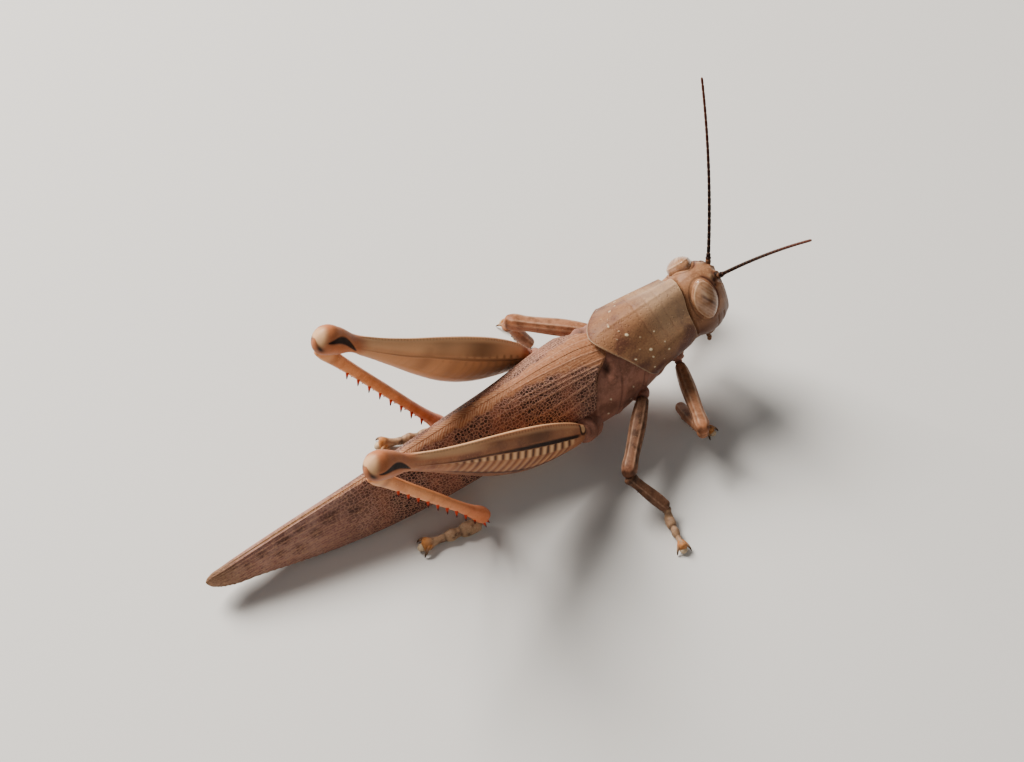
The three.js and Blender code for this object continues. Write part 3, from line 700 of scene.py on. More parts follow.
def eye_axes(side):
    """The eye's own axes as the columns of a matrix: a lean about s, then a rake about y."""
    lean, rake = math.radians(side * EYE["lean"]), math.radians(EYE["rake"])
    c, s = math.cos(lean), math.sin(lean)
    about_s = np.array([[1, 0, 0], [0, c, -s], [0, s, c]])
    c, s = math.cos(rake), math.sin(rake)
    about_y = np.array([[c, 0, s], [0, 1, 0], [-s, 0, c]])
    return about_s @ about_y


def in_eye(points, side):
    """Places measured in the eye's own axes, where its surface is at 1."""
    return (points - mirrored(EYE["at"], side)) @ eye_axes(side) / np.array(EYE["half"])


def trunk_ring(table, s, turn, fullness, grow=0.0):
    """Sections of a trunk table in its tilted frame, fuller than ellipses, widest at the middle level."""
    half, top, mid, bottom = (row[:, None] for row in smooth(table, s))
    lift = np.where(np.sin(turn) > 0, top - mid, mid - bottom) + grow
    y = (half + grow) * signed(np.cos(turn), 2 / fullness)
    return stack(s[:, None], y, mid + lift * signed(np.sin(turn), 2 / fullness))


def neck_margin(round_it):
    """Where the shield ends in front, from the crown (0) to the lower corner (1)."""
    corner = 2.4 * np.maximum(0, round_it - 0.78) / 0.22
    return PRONOTUM[-1][0] - corner + 0.3 - 0.65 * ramp(round_it, 0.0, 0.6)


def skull():
    """
    Head capsule: rings closer towards the face, set back a little, and running in under the shield.
    Raised or sunk by bells round the eyes, the feeler sockets, the mid-face keels and the cheek groove.
    """
    s = HEAD_START + (FACE_TIP - HEAD_START) * np.sin(np.linspace(0, np.pi / 2, 200)) ** 0.92
    turn = girdle(300)
    upper = (np.sin(turn) > 0) * np.sin(2 * turn) ** 2
    near = ramp(s, 65.6, 63.2)[:, None]
    margin = neck_margin(apart(turn, np.pi / 2) / SHIELD["reach"])
    tuck = ramp(s[:, None], margin + 0.5, margin - 0.1)
    flat = trunk_ring(HEAD, s, turn, FULLNESS["head"], -0.8 * upper * near - 0.35 * tuck)
    flat[..., 0] = np.where(s > FACE_START, FACE_START + (s - FACE_START) * FACE_BACK, s)[:, None]
    sp, y, v = np.moveaxis(flat, -1, 0)
    middle, front = np.abs(y), ramp(sp, 66.4, 67.5)
    spread_out = 0.42 + 0.16 * ramp(v, -4, -8)
    keels = bump(middle - spread_out, 0.16) * window(v, -9.0, -8.0, -2.8, -1.8) * front
    side_keels = bump(middle - 1.35 + 0.22 * (v + 3.4), 0.15) * window(v, -8.4, -7.4, -3.8, -3.0) * front
    furrow = bump(y, 0.24) * window(v, -8.4, -7.4, -3.4, -2.6) * front
    beside = bump(middle - 0.95, 0.2) * front * ramp(v, -7, -5)
    height = 0.2 * keels + 0.13 * side_keels - 0.1 * furrow
    # the first of these is a painted shadow: the head is darkened where it runs in under the shield's front
    # margin
    darks = [0.8 * ramp(sp, margin + 0.22, margin + 0.02), 0.35 * furrow, 0.25 * beside]
    pales, warms = [0.4 * keels + 0.35 * side_keels], []
    for side in SIDES.values():
        here = ramp(side * y, 0, 0.3)
        local = in_eye(flat, side)
        lx, ly, lz = np.moveaxis(local, -1, 0)
        far = np.linalg.norm(local, axis=-1)
        ahead = ramp(lx, 0.15, 0.6)
        height -= 0.09 * bump(far - 1.14, 0.06) * (0.1 + 0.9 * ahead)
        groove = bump(far - 1.15, 0.1) * ahead * ramp(lz, -0.9, -0.6)
        # painted shade: behind is a dark slot along each eye's upper inner edge, where it meets the head
        behind = bump(far - 1.13, 0.05) * ramp(side * ly, 0.2, -0.2)
        notch = bump(np.hypot((lx - 0.12) * 1.4, (lz + 1.08) * 2.4), 0.22) * here
        socket, brow = (np.linalg.norm(flat - mirrored(at, side), axis=-1) for at in (SOCKET, BROW))
        height += 0.12 * bump(socket - 0.8, 0.15) - 0.3 * bump(socket, 0.42) + 0.12 * bump(brow, 0.4)
        crease = bump(sp - 65.9 - 0.1 * (v + 6.5), 0.1) * window(v, -9.0, -8.0, -5.5, -4.9) * here
        off_cheek = np.abs(sp - (66.9 + 0.1 * (v + 6.5))) + 9 * ramp(v, -5.9, -5.2) + 9 * ramp(v, -9.2, -9.8)
        height -= 0.1 * crease + 0.12 * bump(off_cheek, 0.14) * here
        pits = [bump(np.linalg.norm(flat - mirrored(at, side), axis=-1), size) for at, size in FACE_PITS]
        height -= 0.15 * sum(pits)
        # painted shade: the cheek below each eye is painted darker and warmer
        cheek = ramp(v, -3.4, -6.2) * here
        # 0.95 * bump(socket, 0.48) is painted shade in each feeler socket
        darks += [0.3 * groove, 0.6 * behind, 0.85 * notch, 0.95 * bump(socket, 0.48), 0.55 * crease]
        darks += [0.5 * bump(off_cheek, 0.11) * here, 0.46 * cheek, *(0.95 * pit**1.5 for pit in pits)]
        warms += [0.95 * groove, 0.62 * cheek, *pits]
        pales.append(0.3 * bump(brow, 0.35))
    ocellus = np.hypot(y, v + 4.2) + 9 * (1 - front)
    spot = bump(ocellus, 0.16)
    height += 0.08 * spot + 0.03 * bump(y, 0.1) * ramp(v, -2.2, -1.2)
    mouth_line = bump(v + 9.3 - 0.1 * (sp - 66), 0.1) * ramp(sp, 66.6, 67.2)
    dark = most(*darks, 0.8 * bump(ocellus - 0.25, 0.07)) * (1 - spot)
    marks = {"dark": most(dark, 0.5 * mouth_line), "pale": most(*pales, 0.9 * spot), "warm": most(*warms)}
    return patch(raised(room(sp, y, v), height), marks)


def jaws():
    """Upper lip, jaws and palps beneath the face."""
    first, last = MOUTH[0][0], MOUTH[-1][0]
    s = first + (last - first) * np.sin(np.linspace(0, 1, 60) * np.pi / 2)
    sp, y, v = np.moveaxis(trunk_ring(MOUTH, s, girdle(90), FULLNESS["mouth"]), -1, 0)
    parting = 0.8 * bump(y, 0.07) * ramp(v, -10.2, -10.6)
    seam = most(parting, 0.5 * bump(sp - 66.5, 0.1) * ramp(v, -9.4, -9.9))
    lip = bump(v + 9.7 + 0.08 * y**2, 0.09) * ramp(sp, 66.6, 67.0)
    made = [patch(raised(room(sp, y, v), -0.1 * seam - 0.08 * lip), {"dark": most(seam, lip)}, finish=1)]
    t = np.linspace(0, 1, 40)
    waist = 1 - 0.28 * bump(t - 0.34, 0.05) - 0.28 * bump(t - 0.68, 0.05)
    waist = waist * rounded((t - 0.5) / 0.52, 8, 0.05)
    rings = {"dark": 0.6 * bump(t - 0.34, 0.04) + 0.6 * bump(t - 0.68, 0.04)}
    for side in SIDES.values():
        for root, tip, girth in PALPS:
            root, tip = mirrored(root, side), mirrored(tip, side)
            bend = (root + tip) / 2 + mirrored((0.3, 0.35, 0), side)
            made.append(thread(room(*bezier(root, bend, tip, t).T), girth * waist, 16, rings, finish=1))
    return made


def eyeball(side):
    """
    Eye: an almond dome, leaner towards its two ends, with a thin raised pale rim where it meets the
    head and a flatter middle, striped along its height.
    """
    local = ball((0, 0, 0), (1, 1, 1), 150, 150)
    local[..., 0] *= np.sqrt(np.clip(1 - 0.5 * local[..., 2] ** 2, 0, 1))
    lx, ly, lz = local[..., 0], side * local[..., 1], local[..., 2]
    rim = bump(ly - 0.42, 0.085)
    swell = 1 + 0.035 * rim - 0.02 * ramp(ly, 0.6, 0.9)
    placed = mirrored(EYE["at"], side) + (local * swell[..., None] * EYE["half"]) @ eye_axes(side).T
    across = lz + 0.75 * lx
    stripes = 0.5 + 0.5 * np.sin(across * 30 + 2 * lx)
    inner = ramp(ly, 0.45, 0.6)
    streak = bump(across - 0.12, 0.08) * window(lx, -0.45, -0.2, 0.3, 0.75)
    # painted highlight: a pale blotch and pale stripes above the dark streak
    painted_highlight = bump(across - 0.36, 0.09) * bump(lx + 0.02, 0.2) + 0.5 * stripes * ramp(across, 0.05, 0.4)
    # the last term is painted shade: the eye's lower front is darkened
    dark = 0.3 * stripes * inner + 0.95 * streak + 0.25 * ramp(lx, -0.1, 0.5) * ramp(lz, 0.5, 0.0)
    # the rim is pale, and the rim and the eye are painted lighter towards the rear, as painted light
    pale_rim = (0.22 + 0.4 * ramp(lx, 0.2, -0.4)) * rim
    pale = most(pale_rim, 0.8 * painted_highlight * inner, 0.15 * ramp(lx, 0.1, -0.4) * inner)
    marks = {"dark": np.clip(dark * (1 - rim), 0, 1), "pale": np.clip(pale, 0, 1)}
    return patch(room(*np.moveaxis(placed, -1, 0)), marks)


def feeler(side_name):
    """A feeler: a stout tan first joint, a small second one, then a dark thread of many joints."""
    side = SIDES[side_name]
    root = room(*mirrored(FEELER["root"], side))
    way, bow = unit(mirrored(FEELER_WAY[side_name], side)), unit(mirrored(FEELER_BOW, side))
    start, tip = root + way * FEELER["start"], root + way * FEELER["length"]
    bend = (start + tip) / 2 + bow * FEELER["bend"]
    t = np.linspace(0, 1, 700)
    joint = (t * FEELER["joints"]) % 1
    pinch = bump(np.minimum(joint, 1 - joint), 0.1)
    radius = np.where(t < 0.05, 0.34, np.where(t < 0.07, 0.27, 0.225 - 0.07 * t))
    radius = radius * (1 - 0.17 * pinch) * rounded((t - 0.5) / 0.502, 60, 0.03)
    marks = {"warm": ramp(t, 0.35, 1.0), "pale": 0.3 * ramp(t, 0.055, 0.03) + 0.25 * pinch}
    return thread(bezier(start, bend, tip, t), radius, 18, marks)


piece("head_capsule", [skull(), *jaws()], [head_chitin, mouth_chitin], ["head", "mouthparts"])
for side_name, side in SIDES.items():
    piece(f"compound_eye_{side_name}", [eyeball(side)], [eye_finish], [f"eye_{side_name}"])
    piece(f"feeler_{side_name}", [feeler(side_name)], [feeler_chitin], [f"antenna_{side_name}"])


# ------------------------------------------------------------------ shield
SHIELD_BLUNT = 0.1  # share of the way round over which the hind margin is blunt
# grooves across the shield: place on the crown, how far each bows forward down the sides, depth
SHIELD_GROOVES = [(57.6, 0.7, 0.06), (59.2, 0.4, 0.05), (60.6, 0.2, 0.04)]
# dark clouds on its sides: s, v, radius
SHIELD_CLOUDS = [(56.2, -6.3, 1.5), (59.6, -5.2, 1.2), (53.4, -4.2, 1.0)]


def shield_at(along, across, depth):
    """
    Places on the shield, with their distances from its hind margin and from the neck. Along runs from
    the hind margin (0) to the neck (1), and across from the right lower corner (-1) over the crown (0)
    to the left. The hind margin is blunt at the crown and slants forward down each side, and the crown
    is pitched like a tent, more so towards the neck.
    """
    angle = across * SHIELD["reach"]
    round_it = np.abs(across)
    most_blunt = math.hypot(1, SHIELD_BLUNT) - SHIELD_BLUNT
    blunt = ((np.hypot(round_it, SHIELD_BLUNT) - SHIELD_BLUNT) / most_blunt) ** 0.85
    hind = PRONOTUM[-1][0] - SHIELD["length"] + SHIELD["slant"] * blunt
    fore = neck_margin(round_it)
    s = hind + (fore - hind) * along
    half, top, mid, bottom = smooth(PRONOTUM, s)
    lift = np.where(np.cos(angle) > 0, top - mid, mid - bottom)
    pull = 0.55 + 0.45 * ramp(s, 53, 62)
    depth = depth - pull * np.sin(2 * angle) ** 2 * ramp(np.abs(angle), 1.6, 1.1)
    y = (half + depth) * signed(np.sin(angle), SHIELD["full"])
    return s, y, mid + (lift + depth) * signed(np.cos(angle), SHIELD["full"]), s - hind, fore - s


def shield():
    """
    Pronotum: a saddle of thin plate. A thin loop in the plane of its thickness runs from the hind
    margin to the neck and back, and is carried round from one lower corner over the crown.
    """
    across = np.linspace(-1, 1, 300)[:, None]
    outer, rim, inner = 190, 5, 30
    ends = (np.ones(rim), np.linspace(1, 0, inner), np.zeros(rim))
    along = np.concatenate([np.linspace(0, 1, outer), *ends])[None, :]
    edge = np.linspace(0, 1, rim + 2)[1:-1]
    wall = np.concatenate([np.zeros(outer), edge, np.ones(inner), 1 - edge])[None, :]
    thicker = (SHIELD["shell"] - SHIELD["edge"]) * ramp(np.minimum(along, 1 - along), 0, 0.12)
    wall = wall * (SHIELD["edge"] + thicker)
    is_outer = wall < 0.01
    s, y, v, margin, neck = shield_at(along, across, -wall)
    angle = across * SHIELD["reach"]
    crown, top_only = ramp(v, -2.5, -1.5), ramp(np.abs(across), 0.62, 0.4)
    keel = bump(y, 0.2) * crown * ramp(margin, 0.4, 2.0)
    height = 0.06 * keel
    darks = [0.12 * bump(y + 0.25, 0.15) * crown * ramp(margin, 0.6, 2.5)]
    darks += [0.66 * ramp(v, -3.0, -6.8) + 0.1 * ramp(np.abs(y), 0.2, 0.6) * ramp(s, 59, 55)]
    darks += [0.28 * bump(np.hypot(s - at, (v - level) * 1.3), size) for at, level, size in SHIELD_CLOUDS]
    warms = [0.26 * ramp(v, -3.2, -1.6)]
    for place, bow, depth in SHIELD_GROOVES:
        line = s - place - bow * (1 - np.cos(angle)) + 0.04 * np.sin(y * 5 + place)
        height = height - depth * bump(line, 0.14) * top_only
        darks.append(0.3 * bump(line, 0.09) * top_only)
        warms.append(0.4 * bump(line, 0.22) * top_only)
    height = height + 0.05 * bump(margin - 0.12, 0.12)
    margins = 0.28 * bump(margin - 0.02, 0.09) + 0.1 * bump(neck, 0.12)
    pales = [margins + 0.17 * ramp(s, 56.5, 60.5) * ramp(v, -4.6, -2)]
    shifts = RNG.uniform(-0.02, 0.02, (len(SHIELD_DOTS), 2))
    for (place, turn, size, strength), (ds, da) in zip(SHIELD_DOTS, shifts):
        for centre, turned, share in ((place, -turn, 1.0), (place + ds, turn + da, 0.45)):
            spot = bump(np.hypot((along - centre) * (margin + neck), (across - turned) * 10.5), size)
            height = height + 0.05 * share * spot
            pales.append(share * strength * ramp(spot, 0.3, 0.75))
    points = room(s, y, v).transpose(1, 0, 2)
    points = raised(points, np.where(is_outer, height, 0).T, wrap=False).transpose(1, 0, 2)
    layers = {"dark": darks, "warm": warms, "pale": pales}
    return patch(points, {name: most(*layer) * is_outer for name, layer in layers.items()})


piece("pronotum_shield", [shield()], [shield_chitin], ["pronotum"])


# ------------------------------------------------------------------ thorax and abdomen
THORAX_SEAMS = (47.2, 51.0, 54.6, 57.6)
# cream spots on its sides: s, v, radius
THORAX_SPOTS = [(53.2, -6.9, 0.13), (50.1, -6.2, 0.13), (52.4, -8.6, 0.12), (49.2, -8.2, 0.14)]


def thorax_side():
    """Middle body: plates parted by slanting seams on each side, and a keel of plates beneath."""
    s = np.linspace(THORAX[0][0], THORAX[-1][0], 230)
    sp, y, v = np.moveaxis(trunk_ring(THORAX, s, girdle(240), FULLNESS["trunk"], -0.02), -1, 0)
    low = ramp(v, -3.0, -5.0)
    height, darks, pales = np.zeros(y.shape), [], []
    for place in THORAX_SEAMS:
        seam = sp - place - 0.42 * (v + 8)
        height += 0.12 * bump(seam - 0.45, 0.35) * low - 0.16 * bump(seam, 0.12) * low
        darks.append(0.4 * bump(seam, 0.1) * low)
    # painted shade: the hollow at the wing's hinge, under the shield's margin, is painted nearly black
    hinge = np.hypot(sp - 51.4, v + 3.15)
    lobe = np.hypot(sp - 51.3, (v + 4.2) * 1.3)
    height += 0.3 * bump(lobe, 0.6) - 0.35 * bump(hinge, 0.5)
    darks += [0.85 * bump(hinge, 0.6), 0.3 * bump(lobe - 0.6, 0.12)]
    height -= 0.1 * bump(v - smooth(THORAX, s)[3][:, None] - 0.9, 0.12)
    for place, level, size in THORAX_SPOTS:
        for side in SIDES.values():
            spot = bump(np.hypot(sp - place, v - level) + 9 * (np.sign(y) != side), size)
            height += 0.06 * spot
            pales.append(ramp(spot, 0.3, 0.75))
    return patch(raised(room(sp, y, v), height), {"dark": most(*darks), "pale": most(*pales)})


def belly():
    """
    Abdomen: each ring laps the next, with a fold of soft skin along each side. In front, a narrower
    sleeve of soft skin joins it to the middle body.
    """
    first, last = ABDOMEN[0][0], ABDOMEN[-1][0]
    step = (last - first) / ABDOMEN_SEGMENTS
    s = np.linspace(first, last + 0.8, 430)
    within = ((s - first) / step) % 1
    grow = -0.16 * (1 - ramp(within, 0.0, 0.3)) - 0.02 - 0.12 * ramp(s, last - 0.05, last + 0.1)
    turn = girdle(160)
    rings = trunk_ring(ABDOMEN, s, turn, FULLNESS["trunk"], grow[:, None])
    sp, y, v = np.moveaxis(rings, -1, 0)
    mid = smooth(ABDOMEN, s)[2][:, None]
    taper = 0.4 + 0.6 * ramp(s, first, first + 0.5)[:, None]
    fold = bump(np.sin(turn) + 0.25, 0.1)
    points = raised(room(sp, y * taper, mid + (v - mid) * taper), -0.16 * fold)
    dark = most(0.7 * bump(within - 0.02, 0.05)[:, None], 0.4 * fold)
    return patch(points, {"dark": dark, "pale": 0.5 * bump(within - 0.93, 0.06)[:, None]})


def valves():
    """Egg-laying valves: two pairs of short curved prongs, tapering, the upper pair bent up."""
    t = np.linspace(0, 1, 40)
    taper = (1 - 0.5 * t) * rounded(t, 12, 0.02)
    for side in SIDES.values():
        for *places, girth in VALVES:
            line = room(*bezier(*(mirrored(place, side) for place in places), t).T)
            yield thread(line, girth * taper, 20, {"dark": ramp(t, 0.55, 1)})


piece("thorax_plates", [thorax_side()], [side_chitin], ["thorax"])
piece("abdomen_rings", [belly()], [belly_chitin], ["abdomen"])
piece("egg_laying_valves", list(valves()), [belly_chitin], ["ovipositor"])


# ------------------------------------------------------------------ wings
# Long veins of a tegmen: how far out from the ridge (0) to the lower margin (1) each lies, by s.
VEINS = [
    [(0.5, 0.2), (8, 0.13), (20, 0.09), (30, 0.1), (40, 0.1), (46, 0.14), (52, 0.18)],
    [(0.5, 0.32), (10, 0.27), (24, 0.25), (36, 0.24), (44, 0.29), (52, 0.33)],
    [(0.5, 0.42), (10, 0.4), (24, 0.4), (38, 0.33), (46, 0.36), (52, 0.4)],
    [(0.5, 0.54), (10, 0.54), (26, 0.52), (38, 0.45), (46, 0.42), (52, 0.44)],
    [(0.5, 0.66), (12, 0.69), (28, 0.68), (42, 0.58), (52, 0.52)],
    [(0.5, 0.8), (12, 0.84), (30, 0.83), (44, 0.72), (52, 0.62)],
]
# Upper edge of the dark net, by s.
NET_EDGE = [
    (0, 0.03), (9, 0.03), (14, 0.04), (20, 0.07), (26, 0.12), (31, 0.17), (36, 0.18), (40, 0.16),
    (44, 0.2), (47, 0.26), (50.3, 0.37), (53, 0.46),
]
# Where the wing's base ends, by how far out, and where it ends at the ridge.
WING_BASE = [(0, 52.3), (0.3, 52.2), (0.42, 50.6), (0.55, 49.3), (0.75, 48.4), (1, 47.9)]
WING_LENGTH = WING_BASE[0][1]
# Dark blotches of the outer part: s, how far out, radius.
WING_BLOTCHES = [
    (15.6, 0.39, 0.75), (13.3, 0.54, 0.6), (12.0, 0.3, 0.5), (10.9, 0.7, 0.55), (10.0, 0.36, 0.6),
    (8.7, 0.61, 0.5), (7.0, 0.4, 0.45), (18.5, 0.5, 0.8), (5.0, 0.55, 0.35), (3.4, 0.3, 0.3),
]
BRANCH_PITCH = 0.36
RUNG_PITCH = 0.37
CELL = 0.38  # width of a cell of the net, and its length near the base, beside 0.9 at the tip


def roof_point(s, out, side):
    """A place on the folded wings: out runs from the ridge (0) to the lower margin (1), and laps below 0."""
    half, top, bottom, fullness = smooth(WINGS, s)
    turn = np.pi / 2 * (1 - out)
    y = side * half * signed(np.cos(turn), 2 / fullness)
    return y, bottom + (top - bottom) * np.abs(np.sin(turn)) ** (2 / fullness)


def tegmen(side_name):
    """
    Forewing: a closed leaf, its outer face to the ridge, its inner face a thin wall beneath. The left
    one laps over the right along the ridge. Long veins stand up, and fine slanting cross-veins ladder
    the field beside the ridge. A dark net fills the outer field, and its base runs in under the shield.
    """
    side = SIDES[side_name]
    share = np.concatenate([np.linspace(0, 2, 34)[:-1], np.linspace(2, WING_LENGTH, 470)])[:, None]
    lap = (-0.03 if side > 0 else 0.015) * ramp(share, 1.0, 9.0)
    out = lap + (1 - lap) * np.linspace(0, 1, 118)[None, :]
    base_end = smooth(WING_BASE, out)[0]
    s = share - (WING_LENGTH - base_end) * ramp(share, 34, WING_LENGTH)
    y, v = roof_point(s, out, side)
    under = 0.09 * ramp(out, 0.01, -0.03) if side > 0 else 0.05 * ramp(out, 0.12, 0.04) * ramp(s, 1.0, 6.0)
    points = room(s, y, v - under)
    steps = np.linalg.norm(np.diff(points, axis=1), axis=-1)
    arc = np.concatenate([np.zeros((len(s), 1)), np.cumsum(steps, axis=1)], axis=1)
    width = arc[:, -1:]

    upper = smooth(NET_EDGE, s)[0] + 0.02 * np.sin(s * 1.9) + 0.012 * np.sin(s * 4.7 + 1)
    outer = ramp(out, upper - 0.035, upper + 0.045)
    rear, shoulder = ramp(s, 22, 11), ramp(s, 37, 46)
    stands = 0.35 + 0.65 * most(shoulder, rear)
    veins = [bump((out - smooth(path, s)[0]) * width, 0.1) * stands for path in VEINS]
    branch = 1 - ripple(out * width * (1 + 0.2 * rear) / BRANCH_PITCH + 0.3 * np.sin(s * 0.5))
    fan = bump(branch, 0.35) * ramp(out, 0.3, 0.5) * rear * (0.55 + 0.45 * ramp(out, 0.4, 0.8))
    fold = bump(branch, 0.3) * (1 - outer) * shoulder * 0.3
    vein = most(*veins, fan, fold)
    ladder_field = (1 - outer) * ramp(out, 0.0, 0.02) * window(s, 6, 12, 36, 43)
    rung = ripple((s + 0.9 * arc + 0.1 * np.sin(s * 2.3)) / RUNG_PITCH)
    ladder = rung**2 * ladder_field
    height = 0.05 * most(vein, ladder) * ramp(s, 0.3, 1.5)

    patches = 0.5 + 0.5 * np.sin((s + 2.5 * out) * 2 * np.pi / 8.4 + 0.6) + 0.25 * np.sin(s * 2.1 + 5 * out)
    patches = np.clip(0.25 + 0.9 * patches, 0, 1)
    blotches = [
        bump(np.hypot((s - place) * 0.8, (out - level) * width), 1.3 * size)
        for place, level, size in WING_BLOTCHES
    ]
    rim = most(bump(np.minimum(out, 1 - out) * width, 0.16), bump(s, 0.35)) * ramp(s, 9, 5)
    beads = (0.5 + 0.5 * np.sin(s * 12.6)) ** 4
    freckle = beads * bump(arc - 0.5 - 0.12 * np.sin(s * 3.1), 0.14) * ramp(s, 36, 40)
    ridge_edge = bump(out - 0.02, 0.035) * rear * ramp(s, 3, 10)
    layers = {
        "dark": outer * ((0.62 + 0.38 * patches) * ramp(s, 14, 23) + 0.12 * ramp(s, 23, 14)),
        "field": most((1 - outer) * (0.75 + 0.25 * ramp(s, 20, 50)), ridge_edge),
        "vein": vein,
        "ladder": ladder,
        "warm": outer * np.clip(1 - 1.2 * patches, 0, 1) * ramp(s, 16, 24),
        "blotch": most(*blotches, 0.4 * outer * patches * ramp(s, 12, 22)),
        "freckle": most(freckle, 0.8 * (1 - rung) ** 2 * ladder_field),
        "mauve": window(s, 1.5, 4.0, 15, 24) * most(outer, ramp(out, 0.08, 0.14)),
        "olive": most(0.45 * ramp(s, 6, 1.5), 0.85 * rim, 0.55 * bump(out - 0.02, 0.045) * rear),
    }
    cell_along = np.cumsum(np.gradient(s, axis=0) / (0.41 + 0.5 * rear), axis=0)
    uv = stack(cell_along, arc / CELL) * UV_MM
    thin = 0.05 + 0.2 * ramp(np.minimum(out - lap, 1 - out) * width, 0, 0.9)
    outside = raised(points, height, wrap=False)
    inside = raised(points, -thin, wrap=False)[:, ::-4]

    marks = {}
    for name, layer in layers.items():
        beneath = np.full(inside.shape[:2], 0.4 if name == "field" else 0.0)
        marks[name] = np.concatenate([np.clip(np.broadcast_to(layer, out.shape), 0, 1), beneath], axis=1)
    loop = np.concatenate([outside, inside], axis=1)
    return patch(loop, marks, np.concatenate([uv, uv[:, ::-4]], axis=1))


for side_name in SIDES:
    piece(f"tegmen_{side_name}", [tegmen(side_name)], [wing_finish], [f"wing_{side_name}"])


# ------------------------------------------------------------------ legs
def bearing(degrees, rise, side):
    """A direction turned from straight ahead towards the leg's own side, and lifted by a rise."""
    turn = math.radians(degrees)
    level = mirrored((math.cos(turn), math.sin(turn), 0), side) * math.cos(rise)
    return level + [0, 0, math.sin(rise)]


def joints_of(kind, side_name):
    """Hip, knee, heel and toe of a leg, whose shin drops as steeply as its heel height needs."""
    side, leg = SIDES[side_name], LEGS[kind]
    femur, rise, tibia, tarsus, unlike = STANCE[f"{kind}_{side_name}"]
    hip = room(*mirrored(leg["hip"], side))
    knee = hip + bearing(femur, math.radians(rise), side) * (leg["femur"] + unlike)
    shin = leg["tibia"] - unlike
    drop = math.asin((leg["heel"] - knee[2]) / shin)
    heel = knee + bearing(tibia, drop, side) * shin
    return hip, knee, heel, heel + bearing(tarsus, 0, side) * leg["tarsus"]


def facing(start, end):
    """Way along a limb, the level way across it, and the way off its upper face."""
    way = unit(end - start)
    level = unit(np.cross((0, 0, 1), way))
    return way, level, unit(np.cross(way, level))


def stations(length, pitch, cap):
    """Places along a limb: an even pitch, and quarter-circle steps where each end is domed."""
    turn = np.linspace(0, np.pi / 2, 11)
    near = cap * (1 - np.cos(turn))
    middle = np.linspace(cap, length - cap, max(3, round((length - 2 * cap) / pitch)))[1:-1]
    return np.concatenate([near, middle, length - near[::-1]])


def domed(places, length, cap):
    """The share of its full size that a limb has at each place when both of its ends are domes."""
    return rounded(1 - np.clip(np.minimum(places, length - places) / cap, 0, 1), 2, 0.0004)


def segment(table, start, end, turn, fullness, cap, girth=1.0, past=0.0, pitch=0.1, swell=None):
    """
    Skin of a limb segment: a table of sizes carried from its start past its end, both ends domed over
    a cap's length. With it come its length and, as a column, the share of it at each row.
    """
    length = float(np.linalg.norm(end - start)) + past
    along = stations(length, pitch, cap)
    sizes = smooth(table, along / length) * girth
    sizes[:2] *= domed(along, length, cap)
    if swell:
        sizes *= swell(along, length)
    points = limb(start + unit(end - start) * along[:, None], sizes, turn, fullness)
    return points, length, (along / length)[:, None]


SPIKE_UP = (0.31, 0.17, 0.94)  # a direction that no spine lies along


def spike(root, way, length, girth, red=0.0):
    """A tapering spine with a dark tip."""
    t = eased(12, 0.4)
    size = girth * (1 - t) ** 0.8 + 0.02 * (t < 1)
    marks = {"dark": ramp(t, 0.55, 0.8), "warm": np.full(12, red)}
    return thread(np.asarray(root) + np.asarray(way) * (t * length)[:, None], size, 10, marks, SPIKE_UP)


# Hind thigh's outer face, by share of its length: level of the dark line, then of the chevrons' bend.
THIGH_LINE = [
    (0, 0.5, 0.06), (0.17, 0.48, 0.06), (0.34, 0.44, 0.07), (0.5, 0.37, 0.13), (0.63, 0.25, 0.1), (1, 0, 0),
]
CHEVRON_PITCH = 1.3


